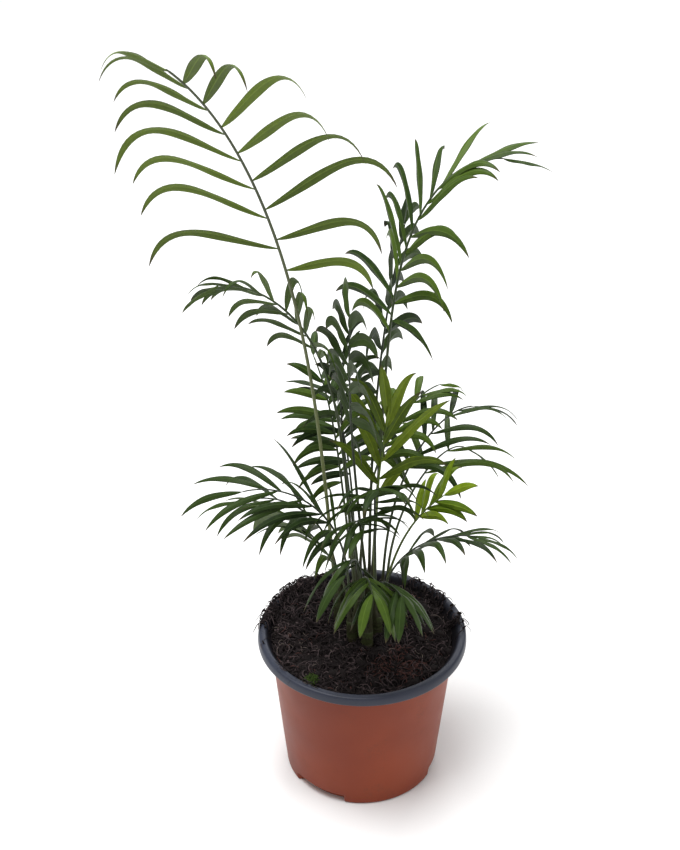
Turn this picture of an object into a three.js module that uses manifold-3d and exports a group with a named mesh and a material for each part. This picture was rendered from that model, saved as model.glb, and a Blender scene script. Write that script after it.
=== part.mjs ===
// A parlour palm in its nursery pot: a thin two-colour plastic pot, the peat in it, eight short
// canes and the fronds that rise from them. Millimetres, +Z up. The origin is the centre of
// the pot's flat underside. Bearings are degrees from +X towards +Y, and leans are degrees
// from the vertical.
import * as THREE from 'three';
import { mergeVertices } from 'three/addons/utils/BufferGeometryUtils.js';
import Module from 'manifold-3d';

const wasm = await Module();
wasm.setup();

// ---------------------------------------------------------------- driving dimensions
const CLEAR = 0.3; // gap between pieces that touch
const ROUND = 40; // sides of the pot, its rim and the peat

const POT = { footR: 48, topR: 57.6, wallTop: 94.8, wall: 1.1, floor: 1.5, edge: 0.9 };
const NOTCH = { bearings: [115, 235, 355], width: 42, height: 5.6, depth: 3.8 };
const RIM = { outerR: 65, innerR: 60, top: 101.4, skirt: 95.6, sheet: 1.0 };
const PEAT = { level: 95.8, tilt: 3.0, highSide: 125, lump: 0.7, edgeDrop: 1.2 };
const CANE = {
  footR: 3.7, topR: 3.2, flare: 0.5, flareTop: 3, sunk: 3, socket: 12, sides: 10, ring: 1.9,
};
const RIB = { footR: 1.3, midR: 0.95, tipR: 0.6, sides: 4, step: 21 };
const REACH = { foot: 0.72, peak: 0.3 }; // leaflets at the blade's foot, and the longest
const LEAF = {
  thick: 1 / 90, leastThick: 0.85, stations: [0, 0.3, 0.62, 1], long: 70,
  longStations: [0, 0.3, 0.62, 0.84, 1],
};
// How far a leaflet strays from its neighbours, as shares: of its length, of how far it
// hangs, of how late it starts to, and of its lift for each degree astray in its spread.
const STRAY = { length: 0.13, droop: 0.45, late: 0.2, lift: 1.4 };

// Eight canes: where each leaves the peat, how it leans, and its height.
const CANES = {
  stem_1: { x: -6, y: -2, lean: 3, bearing: 230, height: 16 },
  stem_2: { x: -14, y: 15, lean: 2, bearing: 180, height: 26 },
  stem_3: { x: -2, y: 10, lean: 2, bearing: 160, height: 22 },
  stem_4: { x: 4, y: 17, lean: 2, bearing: 60, height: 28 },
  stem_5: { x: 13, y: 18, lean: 3, bearing: 40, height: 20 },
  stem_6: { x: 9, y: 4, lean: 3, bearing: 320, height: 15 },
  stem_7: { x: -3, y: 26, lean: 3, bearing: 90, height: 24 },
  stem_8: { x: 3, y: -7, lean: 3, bearing: 300, height: 12 },
};

// The ways that a frond carries its leaflets. Pairs of values hold at the blade's foot and
// tip. spread: angle to the rib. rise: lift above the blade's plane. droop and late: how far
// a leaflet hangs, and how late along it. skew opens the left ones and closes the right
// ones. tail: the last leaflets' share of the longest. stray: degrees out of line.
const HABITS = {
  sweeping: { spread: [76, 30], rise: [4, 18], droop: [5, 2], late: 4.5, skew: 2, tail: 0.45,
    stray: 5 },
  bundled: { spread: [72, 0], rise: [0, 10], droop: [2, 0.5], late: 2.6, skew: 0, tail: 0.65,
    stray: 12 },
  open: { spread: [62, 22], rise: [0, -5], droop: [2.2, 1.4], late: 2.6, skew: 0, tail: 0.6,
    stray: 12 },
  short: { spread: [76, 30], rise: [-5, -5], droop: [1.3, 1], late: 2.2, skew: 0, tail: 0.7,
    stray: 11 },
  broad: { spread: [60, 25], rise: [0, 0], droop: [3, 2], late: 2.4, skew: 0, tail: 0.7,
    stray: 14 },
  fine: { spread: [58, 18], rise: [10, 0], droop: [1.9, 1.4], late: 2.4, skew: 0, tail: 0.8,
    stray: 8 },
  hanging: { spread: [50, 14], rise: [-15, -5], droop: [1.4, 0.9], late: 2, skew: 0, tail: 0.8,
    stray: 9 },
  fountain: { spread: [75, 35], rise: [-15, -20], droop: [3.4, 2.6], late: 1.1, skew: 0,
    tail: 0.75, stray: 12 },
  young: { spread: [52, 10], rise: [5, 0], droop: [1.4, 0.5], late: 2.4, skew: 0, tail: 0.8,
    stray: 18 },
};

// The fronds. cane and spot: where its stalk stands on a cane's top. bearing and sweep: where
// it heads, and how far that turns by the tip. lean and bow: its lean at the foot and at the
// tip, and how late it bows over, 1 being an even arc. stalk and blade: bare and leafy
// lengths. roll and twist turn the blade about the rib. leaflet and width: the longest
// leaflet's size.
const FRONDS = {
  frond_1: { cane: 'stem_2', spot: 200, habit: 'sweeping', bearing: 215, sweep: 30,
    lean: [5, 54], bow: 2.3, stalk: 235, blade: 180, roll: 65, twist: -60, pairs: 8,
    leaflet: 84, width: 6.2 },
  frond_2: { cane: 'stem_4', spot: 335, habit: 'bundled', bearing: 45, sweep: -35,
    lean: [3, 105], bow: 6.5, stalk: 175, blade: 135, roll: 20, twist: -20, pairs: 13,
    leaflet: 54, width: 5.8 },
  frond_3: { cane: 'stem_4', spot: 90, habit: 'broad', bearing: 70, sweep: 0,
    lean: [0, 45], bow: 2, stalk: 130, blade: 105, roll: 80, twist: 0, pairs: 8,
    leaflet: 42, width: 7.5 },
  frond_4: { cane: 'stem_3', spot: 235, habit: 'open', bearing: 190, sweep: -10,
    lean: [4, 95], bow: 4.5, stalk: 175, blade: 80, roll: 20, twist: 30, pairs: 9,
    leaflet: 44, width: 5 },
  frond_5: { cane: 'stem_4', spot: 215, habit: 'broad', bearing: 250, sweep: 0,
    lean: [14, -6], bow: 3, stalk: 130, blade: 80, roll: -40, twist: 0, pairs: 8,
    leaflet: 40, width: 7.5 },
  frond_6: { cane: 'stem_3', spot: 120, habit: 'short', bearing: 150, sweep: -35,
    lean: [8, 60], bow: 5, stalk: 80, blade: 85, roll: -20, twist: 20, pairs: 8,
    leaflet: 32, width: 5 },
  frond_7: { cane: 'stem_3', spot: 0, habit: 'short', bearing: 110, sweep: 30,
    lean: [14, -10], bow: 3, stalk: 90, blade: 75, roll: 0, twist: 0, pairs: 7,
    leaflet: 36, width: 5.4 },
  frond_8: { cane: 'stem_1', spot: 215, habit: 'hanging', bearing: 200, sweep: -20,
    lean: [0, 110], bow: 2.2, stalk: 60, blade: 80, roll: -10, twist: -20, pairs: 10,
    leaflet: 56, width: 4.6 },
  frond_9: { cane: 'stem_1', spot: 110, habit: 'hanging', bearing: 170, sweep: -45,
    lean: [5, 125], bow: 1.5, stalk: 40, blade: 65, roll: 40, twist: 20, pairs: 9,
    leaflet: 48, width: 5 },
  frond_10: { cane: 'stem_6', spot: 340, habit: 'open', bearing: -10, sweep: 0,
    lean: [0, 95], bow: 1.3, stalk: 40, blade: 60, roll: -10, twist: -10, pairs: 10,
    leaflet: 46, width: 5.2 },
  frond_11: { cane: 'stem_5', spot: 12, habit: 'fine', bearing: 45, sweep: 10,
    lean: [0, 130], bow: 1.5, stalk: 70, blade: 65, roll: 30, twist: -20, pairs: 8,
    leaflet: 62, width: 4.6 },
  frond_12: { cane: 'stem_5', spot: 125, habit: 'fine', bearing: 45, sweep: 0,
    lean: [3, 115], bow: 2, stalk: 80, blade: 75, roll: 0, twist: -10, pairs: 9,
    leaflet: 52, width: 4.6 },
  frond_13: { cane: 'stem_6', spot: 100, habit: 'young', bearing: -40, sweep: -10,
    lean: [-6, 12], bow: 1, stalk: 85, blade: 65, roll: -40, twist: 0, pairs: 5,
    leaflet: 50, width: 6.8 },
  frond_14: { cane: 'stem_5', spot: 262, habit: 'young', bearing: -20, sweep: -5,
    lean: [10, 45], bow: 1.5, stalk: 62, blade: 34, roll: 60, twist: 0, pairs: 4,
    leaflet: 34, width: 5.6 },
  frond_15: { cane: 'stem_1', spot: 320, habit: 'fountain', bearing: -75, sweep: -10,
    lean: [14, 90], bow: 1.6, stalk: 45, blade: 55, roll: 0, twist: 0, pairs: 8,
    leaflet: 42, width: 6.5 },
  frond_16: { cane: 'stem_8', spot: 330, habit: 'fountain', bearing: 275, sweep: 20,
    lean: [4, 90], bow: 1.4, stalk: 45, blade: 50, roll: 0, twist: 0, pairs: 8,
    leaflet: 42, width: 6.5 },
  frond_17: { cane: 'stem_7', spot: 145, habit: 'short', bearing: 100, sweep: 10,
    lean: [3, 100], bow: 2, stalk: 70, blade: 75, roll: 0, twist: 0, pairs: 9,
    leaflet: 38, width: 5 },
  frond_18: { cane: 'stem_7', spot: 35, habit: 'open', bearing: 55, sweep: -10,
    lean: [4, 100], bow: 2, stalk: 75, blade: 75, roll: 0, twist: 0, pairs: 9,
    leaflet: 42, width: 5.2 },
  frond_19: { cane: 'stem_2', spot: 310, habit: 'open', bearing: 290, sweep: -10,
    lean: [9, 80], bow: 1.8, stalk: 50, blade: 60, roll: 0, twist: 0, pairs: 8,
    leaflet: 40, width: 5 },
  frond_20: { cane: 'stem_8', spot: 200, habit: 'fountain', bearing: 250, sweep: 10,
    lean: [4, 95], bow: 2, stalk: 60, blade: 50, roll: 0, twist: 0, pairs: 8,
    leaflet: 44, width: 6 },
  frond_21: { cane: 'stem_2', spot: 80, habit: 'fine', bearing: 170, sweep: 15,
    lean: [6, 110], bow: 1.8, stalk: 45, blade: 55, roll: 0, twist: 0, pairs: 8,
    leaflet: 50, width: 4.8 },
  frond_22: { cane: 'stem_6', spot: 220, habit: 'open', bearing: 255, sweep: 20,
    lean: [2, 65], bow: 2.2, stalk: 85, blade: 60, roll: 0, twist: 0, pairs: 8,
    leaflet: 44, width: 6 },
};

// ---------------------------------------------------------------- small helpers
const rad = THREE.MathUtils.degToRad;
const vec = (x, y, z) => new THREE.Vector3(x, y, z);

/** A repeatable number from -1 to 1 for a set of whole numbers. */
function wobble(...keys) {
  let sum = 0;
  keys.forEach((key, i) => {
    sum += (key + 1) * (12.9898 + 65.2333 * i);
  });
  const v = Math.sin(sum) * 43758.5453;
  return 2 * (v - Math.floor(v)) - 1;
}

/** The value at a share of the way from the first of a pair to the second. */
const mix = ([near, far], share) => near + (far - near) * share;

/** Unit vector at a lean from the vertical and a bearing, both in radians. */
function heading(lean, bearing) {
  const s = Math.sin(lean);
  return vec(s * Math.cos(bearing), s * Math.sin(bearing), Math.cos(lean));
}

/** The solid of a closed three.js geometry. */
function solidOf(geometry) {
  geometry.deleteAttribute('normal');
  geometry.deleteAttribute('uv');
  const merged = mergeVertices(geometry, 1e-4);
  const numbers = merged.attributes.position.array;
  const corners = Uint32Array.from(merged.index.array);
  const build = () => new wasm.Manifold(new wasm.Mesh({
    numProp: 3, vertProperties: Float32Array.from(numbers), triVerts: corners,
  }));
  const solid = build();
  if (solid.volume() > 0) return solid;
  for (let i = 0; i < corners.length; i += 3) {
    const swap = corners[i];
    corners[i] = corners[i + 1];
    corners[i + 1] = swap;
  }
  return build();
}

/** A solid of revolution about Z from a profile of [radius, height] pairs. */
function turned(profile, reshape = null) {
  const points = profile.map(([r, z]) => new THREE.Vector2(r, z));
  const geometry = new THREE.LatheGeometry(points, ROUND);
  geometry.rotateX(Math.PI / 2);
  if (reshape) reshape(geometry.attributes.position);
  return solidOf(geometry);
}

/** A closed solid through rings of points; a ring of one point closes an end to a tip. */
function loft(rings) {
  const places = [];
  const starts = rings.map((ring) => {
    const start = places.length / 3;
    ring.forEach((p) => places.push(p.x, p.y, p.z));
    return start;
  });
  const faces = [];
  for (let i = 0; i < rings.length - 1; i += 1) {
    const [n, m] = [rings[i].length, rings[i + 1].length];
    for (let j = 0; j < n; j += 1) {
      const k = (j + 1) % n;
      const [a, b] = [starts[i] + j, starts[i] + k];
      if (m === 1) {
        faces.push(a, b, starts[i + 1]);
      } else {
        const [c, d] = [starts[i + 1] + j, starts[i + 1] + k];
        faces.push(a, b, d, a, d, c);
      }
    }
  }
  const cap = (start, n, flip) => {
    for (let j = 1; j < n - 1; j += 1) {
      if (flip) faces.push(start, start + j + 1, start + j);
      else faces.push(start, start + j, start + j + 1);
    }
  };
  cap(starts[0], rings[0].length, true);
  const last = rings.length - 1;
  if (rings[last].length > 1) cap(starts[last], rings[last].length, false);
  const geometry = new THREE.BufferGeometry();
  geometry.setAttribute('position', new THREE.Float32BufferAttribute(places, 3));
  geometry.setIndex(faces);
  return solidOf(geometry);
}

/** A named mesh of a solid, placed at a point with its geometry measured from there. */
function meshOf(name, solid, look, at = vec(0, 0, 0)) {
  const { vertProperties, triVerts, numProp } = solid.getMesh();
  const places = new Float32Array((vertProperties.length / numProp) * 3);
  for (let i = 0; i < places.length / 3; i += 1) {
    places[3 * i] = vertProperties[numProp * i] - at.x;
    places[3 * i + 1] = vertProperties[numProp * i + 1] - at.y;
    places[3 * i + 2] = vertProperties[numProp * i + 2] - at.z;
  }
  const geometry = new THREE.BufferGeometry();
  geometry.setAttribute('position', new THREE.Float32BufferAttribute(places, 3));
  geometry.setIndex(Array.from(triVerts));
  geometry.computeVertexNormals();
  const material = new THREE.MeshStandardMaterial({ metalness: 0, flatShading: true, ...look });
  const mesh = new THREE.Mesh(geometry, material);
  mesh.name = name;
  mesh.position.copy(at);
  return mesh;
}

// ---------------------------------------------------------------- pot, rim and peat
/** Radius of the pot's outside at a height. */
const potRadius = (z) => POT.footR + (POT.topR - POT.footR) * (z / POT.wallTop);

/** Wedges for the dents around the foot, grown by `grow` on every side. */
function notchTools(grow) {
  const inner = POT.footR - NOTCH.depth - grow;
  const half = rad(NOTCH.width / 2) + grow / POT.footR;
  return NOTCH.bearings.map((bearing) => {
    const shape = new THREE.Shape();
    shape.absarc(0, 0, inner, -half, half, false);
    shape.absarc(0, 0, POT.footR + 12, half, -half, true);
    const geometry = new THREE.ExtrudeGeometry(shape, {
      depth: NOTCH.height + grow + 2, bevelEnabled: false, curveSegments: 6,
    });
    geometry.translate(0, 0, -2);
    geometry.rotateZ(rad(bearing));
    return solidOf(geometry);
  });
}

const cutAll = (solid, tools) => tools.reduce((left, tool) => left.subtract(tool), solid);

const potOutside = turned([
  [0, 0],
  [POT.footR - POT.edge, 0],
  [potRadius(POT.edge), POT.edge],
  [POT.topR, POT.wallTop],
  [0, POT.wallTop],
]);
const potInside = turned([
  [0, POT.floor],
  [potRadius(POT.floor) - POT.wall - 0.6, POT.floor],
  [potRadius(POT.floor + 1) - POT.wall, POT.floor + 1],
  [POT.topR - POT.wall + 0.2, POT.wallTop + 2],
  [0, POT.wallTop + 2],
]);
const pot = cutAll(potOutside, notchTools(0))
  .subtract(cutAll(potInside, notchTools(POT.wall)));

// The rim: a collar that stands on the wall, rolled out and down into a short skirt. The
// profile runs up the collar's outside, along the roll's underside and down inside the
// skirt, then back up its outside, over the roll and down the collar's inside.
const collar = POT.topR - POT.wall + 0.1;
const seat = POT.wallTop + CLEAR;
const under = RIM.top - RIM.sheet;
const rim = turned([
  [collar, seat],
  [POT.topR + 0.6, seat],
  [RIM.innerR - 0.2, RIM.top - 3.5],
  [RIM.innerR + 1.4, under - 0.2],
  [RIM.outerR - 1.9, under - 0.3],
  [RIM.outerR - RIM.sheet, under - 1.6],
  [RIM.outerR - RIM.sheet, RIM.skirt],
  [RIM.outerR, RIM.skirt],
  [RIM.outerR, RIM.top - 2.1],
  [RIM.outerR - 0.9, RIM.top - 0.6],
  [RIM.outerR - 2.6, RIM.top],
  [RIM.innerR + 0.6, RIM.top - 0.3],
  [collar + 1.8, RIM.top - 3.4],
  [collar, seat],
]);

/** Height of the peat at a place: higher towards one side, with low lumps. */
function peatHeight(x, y) {
  const share = Math.hypot(x, y) / POT.topR;
  const turn = Math.atan2(y, x);
  const slope = PEAT.tilt * share * Math.cos(turn - rad(PEAT.highSide));
  const lumps = PEAT.lump * share * (Math.sin(3 * turn + 1) + 0.6 * Math.sin(5 * turn));
  return PEAT.level + slope + lumps;
}

// The peat's profile is turned with its top marked by two heights above the pot, EDGE and
// TOP, and those points are then let down to the surface, the edge a little lower.
const EDGE = 200;
const TOP = 300;
const peatEdge = POT.topR - POT.wall - CLEAR - 0.1;
const peatBody = turned([
  [0, POT.floor + CLEAR],
  [potRadius(POT.floor) - POT.wall - CLEAR - 1.1, POT.floor + CLEAR],
  [potRadius(POT.floor + 2) - POT.wall - CLEAR - 0.2, POT.floor + 2],
  [peatEdge, EDGE],
  [peatEdge - 3, TOP],
  [0.75 * peatEdge, TOP],
  [0.45 * peatEdge, TOP],
  [0, TOP],
], (position) => {
  for (let i = 0; i < position.count; i += 1) {
    const mark = position.getZ(i);
    if (mark < EDGE) continue;
    const height = peatHeight(position.getX(i), position.getY(i));
    position.setZ(i, mark < TOP ? height - PEAT.edgeDrop : height);
  }
});

// ---------------------------------------------------------------- canes
/** Where a cane's axis is at a height above the peat under it. */
function canePoint(cane, height) {
  const lift = heading(rad(cane.lean), rad(cane.bearing));
  const ground = peatHeight(cane.x, cane.y);
  return vec(cane.x, cane.y, ground).addScaledVector(lift, height / lift.z);
}

/** A level ring of points about a centre. */
function levelRing(centre, radius, sides) {
  return Array.from({ length: sides }, (_, i) => {
    const turn = (2 * Math.PI * i) / sides;
    return vec(centre.x + radius * Math.cos(turn), centre.y + radius * Math.sin(turn), centre.z);
  });
}

/** The cane as a leaning taper, flat at the foot and the top; `grow` widens it for a socket. */
function caneSolid(cane, grow = 0) {
  const foot = -CANE.sunk - grow;
  const top = grow ? CANE.socket : cane.height;
  const steps = [foot, 0, CANE.flareTop, (top + CANE.flareTop) / 2, top];
  const rings = steps.map((h) => {
    const along = Math.max(0, h) / cane.height;
    const flare = CANE.flare * Math.max(0, 1 - Math.max(0, h) / CANE.flareTop);
    const radius = CANE.footR + (CANE.topR - CANE.footR) * along + flare + grow;
    return levelRing(canePoint(cane, h), radius, CANE.sides);
  });
  return loft(rings);
}

const canes = Object.entries(CANES).map(([name, cane]) => ({ name, solid: caneSolid(cane) }));
const sockets = Object.values(CANES).map((cane) => caneSolid(cane, CLEAR));
const peat = cutAll(cutAll(peatBody, notchTools(POT.wall + CLEAR)), sockets);

// ---------------------------------------------------------------- fronds
const SLICES = 48;

/** Foot of a frond's stalk, on the top of its cane. */
function frondFoot(frond) {
  const cane = CANES[frond.cane];
  const top = canePoint(cane, cane.height);
  const spot = rad(frond.spot);
  return vec(
    top.x + CANE.ring * Math.cos(spot),
    top.y + CANE.ring * Math.sin(spot),
    top.z + CLEAR,
  );
}

/** Direction of the rib at a share s of its length. */
function ribHeading(frond, s) {
  const lean = mix(frond.lean, s ** frond.bow);
  return heading(rad(lean), rad(frond.bearing + frond.sweep * s));
}

/** The rib from foot to tip, as points and directions. */
function ribLine(frond) {
  const step = (frond.stalk + frond.blade) / SLICES;
  const place = frondFoot(frond);
  const points = [];
  const ways = [];
  for (let i = 0; i <= SLICES; i += 1) {
    points.push(place.clone());
    ways.push(ribHeading(frond, i / SLICES));
    place.addScaledVector(ribHeading(frond, (i + 0.5) / SLICES), step);
  }
  return { points, ways };
}

/** Point, direction, left side and upper side of the blade at a share s of the rib. */
function ribFrame(frond, line, s) {
  const x = s * SLICES;
  const i = Math.min(Math.floor(x), SLICES - 1);
  const place = line.points[i].clone().lerp(line.points[i + 1], x - i);
  const way = line.ways[i].clone().lerp(line.ways[i + 1], x - i).normalize();
  const bearing = rad(frond.bearing + frond.sweep * s);
  const level = vec(-Math.sin(bearing), Math.cos(bearing), 0);
  level.addScaledVector(way, -level.dot(way)).normalize();
  const up = way.clone().cross(level);
  const roll = rad(frond.roll + frond.twist * s);
  const left = level.clone().multiplyScalar(Math.cos(roll)).addScaledVector(up, Math.sin(roll));
  up.multiplyScalar(Math.cos(roll)).addScaledVector(level, -Math.sin(roll));
  return { place, way, left, up };
}

/** Radius of the rib at a share s of its length: the stalk thins fast, the blade's rib slowly. */
function ribRadius(frond, s) {
  const split = frond.stalk / (frond.stalk + frond.blade);
  if (s < split) return RIB.footR + (RIB.midR - RIB.footR) * (s / split);
  return RIB.midR + (RIB.tipR - RIB.midR) * ((s - split) / (1 - split));
}

/** How many straight lengths the rib's tube is made in. */
const ribSteps = (frond) => Math.round((frond.stalk + frond.blade) / RIB.step);

/** The point at a share s of the rib, on the straight length of the tube that it falls in. */
function onTube(frond, line, s) {
  const steps = ribSteps(frond);
  const i = Math.min(Math.floor(s * steps), steps - 1);
  const from = ribFrame(frond, line, i / steps).place;
  return from.lerp(ribFrame(frond, line, (i + 1) / steps).place, s * steps - i);
}

/** The rib as a thin tapered tube, grown by `grow`. */
function ribSolid(frond, line, grow = 0) {
  const rings = [];
  const steps = ribSteps(frond);
  for (let i = 0; i <= steps; i += 1) {
    const s = i / steps;
    const { place, way, left, up } = ribFrame(frond, line, s);
    const radius = ribRadius(frond, s) + grow;
    const centre = place.clone();
    if (i === 0) centre.addScaledVector(way, -grow);
    if (i === steps) centre.addScaledVector(way, grow);
    const ring = Array.from({ length: RIB.sides }, (_, j) => {
      const turn = (2 * Math.PI * j) / RIB.sides;
      const point = centre.clone().addScaledVector(left, radius * Math.cos(turn));
      point.addScaledVector(up, radius * Math.sin(turn));
      if (i === 0) point.z = line.points[0].z - grow;
      return point;
    });
    rings.push(ring);
  }
  return loft(rings);
}

/** Length of a leaflet at a share u along the blade, as a share of the longest. */
function leafletReach(u, tail) {
  const { foot, peak } = REACH;
  if (u < peak) return foot + (1 - foot) * Math.sin((Math.PI / 2) * (u / peak));
  return 1 - (1 - tail) * ((u - peak) / (1 - peak)) ** 1.5;
}

/** Width of a leaflet at a share v along it: narrow foot, widest halfway, long fine tip. */
const leafletWidth = (v) => 2.88 * (v + 0.012) ** 0.75 * (1 - v) ** 0.85;

/** Leaflet number k on a side (1 or -1) of a frond, as its line, faces and half widths. */
function leafletLine(frond, number, line, k, side, nudge) {
  const u = (k + (side > 0 ? 0.15 : 0.85)) / frond.pairs;
  const s = (frond.stalk + frond.blade * u) / (frond.stalk + frond.blade);
  const { way, left, up } = ribFrame(frond, line, s);
  const place = onTube(frond, line, s);
  const habit = HABITS[frond.habit];
  const [w1, w2, w3, w4, w5] = [0, 1, 2, 3, 4].map((q) => wobble(number, k, side + 1, q));
  const open = mix(habit.spread, u) + side * habit.skew + habit.stray * w1;
  const spread = rad(open + nudge.spread);
  const rise = rad(mix(habit.rise, u) + STRAY.lift * habit.stray * w2 + nudge.rise);
  const length = frond.leaflet * leafletReach(u, habit.tail) * (1 + STRAY.length * w3);
  const droop = mix(habit.droop, u) * (1 + STRAY.droop * w4);
  const late = habit.late * (1 + STRAY.late * w5);
  const start = way.clone().multiplyScalar(Math.cos(spread));
  start.addScaledVector(left, side * Math.sin(spread) * Math.cos(rise));
  start.addScaledVector(up, Math.sin(spread) * Math.sin(rise));
  const wayAt = (v) => start.clone().addScaledVector(vec(0, 0, 1), -droop * v ** late)
    .normalize();
  const slices = 12;
  const face = up.clone();
  const stations = [];
  for (let i = 0; i <= slices; i += 1) {
    const v = i / slices;
    const along = wayAt(v);
    face.addScaledVector(along, -face.dot(along)).normalize();
    stations.push({ place: place.clone(), along, face: face.clone() });
    place.addScaledVector(wayAt(v + 0.5 / slices), length / slices);
  }
  return { stations, length, slices };
}

/** The leaflet as a blade with a keel below, three-sided in section, grown by `grow`. */
function leafletSolid(frond, leaflet, grow = 0) {
  const { stations, length, slices } = leaflet;
  const thick = Math.max(LEAF.leastThick, length * LEAF.thick);
  const cuts = frond.leaflet > LEAF.long ? LEAF.longStations : LEAF.stations;
  const rings = cuts.map((v) => {
    const x = v * slices;
    const i = Math.min(Math.floor(x), slices - 1);
    const [a, b] = [stations[i], stations[i + 1]];
    const place = a.place.clone().lerp(b.place, x - i);
    const along = a.along.clone().lerp(b.along, x - i).normalize();
    const face = a.face.clone().lerp(b.face, x - i);
    face.addScaledVector(along, -face.dot(along)).normalize();
    if (v === 1 && !grow) return [place];
    const wide = along.clone().cross(face);
    const half = (frond.width / 2) * Math.max(0.02, leafletWidth(v)) + grow;
    const deep = thick * Math.min(1, 0.5 + 1.5 * v) * Math.min(1, 3.2 * (1 - v) + 0.2);
    return [
      place.clone().addScaledVector(wide, half).addScaledVector(face, grow),
      place.clone().addScaledVector(wide, -half).addScaledVector(face, grow),
      place.clone().addScaledVector(face, -deep - grow),
    ];
  });
  return loft(rings);
}

const boxOf = (solid) => {
  const { min, max } = solid.boundingBox();
  return new THREE.Box3(vec(...min), vec(...max));
};

/** A solid with its box, so that far neighbours are passed over quickly. */
const piece = (solid) => ({ solid, box: boxOf(solid) });

const meets = (a, b) => a.box.intersectsBox(b.box) && !a.solid.intersect(b.solid).isEmpty();

// A leaflet that would touch another frond, a cane, the peat or the rim is turned a little,
// in this order, and left out where no turn clears it.
const NUDGES = [
  { rise: 0, spread: 0 },
  { rise: 12, spread: 0 },
  { rise: -12, spread: 0 },
  { rise: 0, spread: 11 },
  { rise: 0, spread: -11 },
  { rise: 24, spread: 0 },
  { rise: -24, spread: 0 },
  { rise: 14, spread: -14 },
  { rise: -14, spread: -14 },
];

const around = [pot, rim, peat, ...canes.map((cane) => cane.solid)].map(piece);
const grown = Object.entries(FRONDS).map(([name, frond], number) => {
  const line = ribLine(frond);
  return { name, frond, number, line, parts: [ribSolid(frond, line)] };
});
grown.forEach((one) => {
  one.pieces = [piece(one.parts[0])];
});
grown.forEach((one) => {
  const wide = piece(ribSolid(one.frond, one.line, 0.12));
  const others = [...around, ...grown.filter((other) => other !== one).flatMap((o) => o.pieces)];
  if (others.some((other) => meets(wide, other))) {
    throw new Error(`${one.name}: its rib runs into a neighbour`);
  }
});
for (const one of grown) {
  const others = [...around, ...grown.filter((o) => o !== one).flatMap((o) => o.pieces)];
  for (let k = 0; k < one.frond.pairs; k += 1) {
    for (const side of [1, -1]) {
      for (const nudge of NUDGES) {
        const leaflet = leafletLine(one.frond, one.number, one.line, k, side, nudge);
        const wide = piece(leafletSolid(one.frond, leaflet, CLEAR));
        if (others.some((other) => meets(wide, other))) continue;
        const solid = leafletSolid(one.frond, leaflet);
        one.parts.push(solid);
        one.pieces.push(piece(solid));
        break;
      }
    }
  }
}

// ---------------------------------------------------------------- the whole plant
const GREENS = [0x3c5a2c, 0x35522a, 0x44652f, 0x3a5730, 0x4a6d2e];
const palm = new THREE.Group();
const container = new THREE.Group();
container.add(meshOf('pot', pot, { color: 0xa65a3e, roughness: 0.55 }));
container.add(meshOf('pot_rim', rim, { color: 0x4c505e, roughness: 0.45 }));
container.add(meshOf('soil', peat, { color: 0x2a1c16, roughness: 0.95 }));
palm.add(container);

const crown = new THREE.Group();
canes.forEach(({ name, solid }) => {
  const { x, y } = CANES[name];
  crown.add(meshOf(name, solid, { color: 0x7d8a4a, roughness: 0.6 }, vec(x, y, peatHeight(x, y))));
});
grown.forEach((one, i) => {
  const whole = one.parts.reduce((left, part) => left.add(part));
  const look = { color: GREENS[i % GREENS.length], roughness: 0.5 };
  crown.add(meshOf(one.name, whole, look, one.line.points[0]));
});
palm.add(crown);

export default palm;
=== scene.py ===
# %% [markdown]
# # A parlour palm in its nursery pot
#
# This lesson dresses the solids of a young parlour palm. The solids say where everything is:
# a thin plastic pot, the peat in it, eight short canes and the fronds that rise from them.
# Every piece made here takes the place of one of those solids, so nothing has to be fitted.
#
# All lengths are metres, +Z is up, and the origin is the middle of the pot's underside.

import math

import bpy
import numpy as np
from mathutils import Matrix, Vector
from mathutils.bvhtree import BVHTree


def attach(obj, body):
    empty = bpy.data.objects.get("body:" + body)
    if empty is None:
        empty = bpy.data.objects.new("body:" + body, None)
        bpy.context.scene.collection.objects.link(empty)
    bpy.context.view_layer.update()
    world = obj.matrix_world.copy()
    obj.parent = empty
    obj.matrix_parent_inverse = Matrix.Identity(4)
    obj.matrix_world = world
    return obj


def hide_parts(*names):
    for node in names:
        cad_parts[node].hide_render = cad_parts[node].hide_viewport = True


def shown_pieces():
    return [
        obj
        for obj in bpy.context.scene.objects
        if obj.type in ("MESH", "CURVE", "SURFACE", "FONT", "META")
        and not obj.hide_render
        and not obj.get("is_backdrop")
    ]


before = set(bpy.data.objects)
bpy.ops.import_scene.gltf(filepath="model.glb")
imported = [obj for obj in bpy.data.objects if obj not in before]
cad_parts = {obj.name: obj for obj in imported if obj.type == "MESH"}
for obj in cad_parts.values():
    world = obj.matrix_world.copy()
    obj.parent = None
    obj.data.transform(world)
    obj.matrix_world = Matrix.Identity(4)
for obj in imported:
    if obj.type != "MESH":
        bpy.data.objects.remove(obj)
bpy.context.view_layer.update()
MM = 0.001

# %% [markdown]
# ## Camera
#
# The plant is seen from in front and a little above, from about a metre away, with a long
# lens. A long lens keeps the pot's sides nearly upright. The camera is set first, because
# every later choice of detail depends on how large a millimetre looks in the picture: here a
# millimetre is not quite two pixels.

# %% Camera
AIM = Vector((-13.8, 0, 252.1)) * MM
AWAY = 982 * MM
LOOK_DOWN = math.radians(31.9)
LENS = 72
SENSOR = 36
NEAREST_SEEN = 10 * MM


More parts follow.
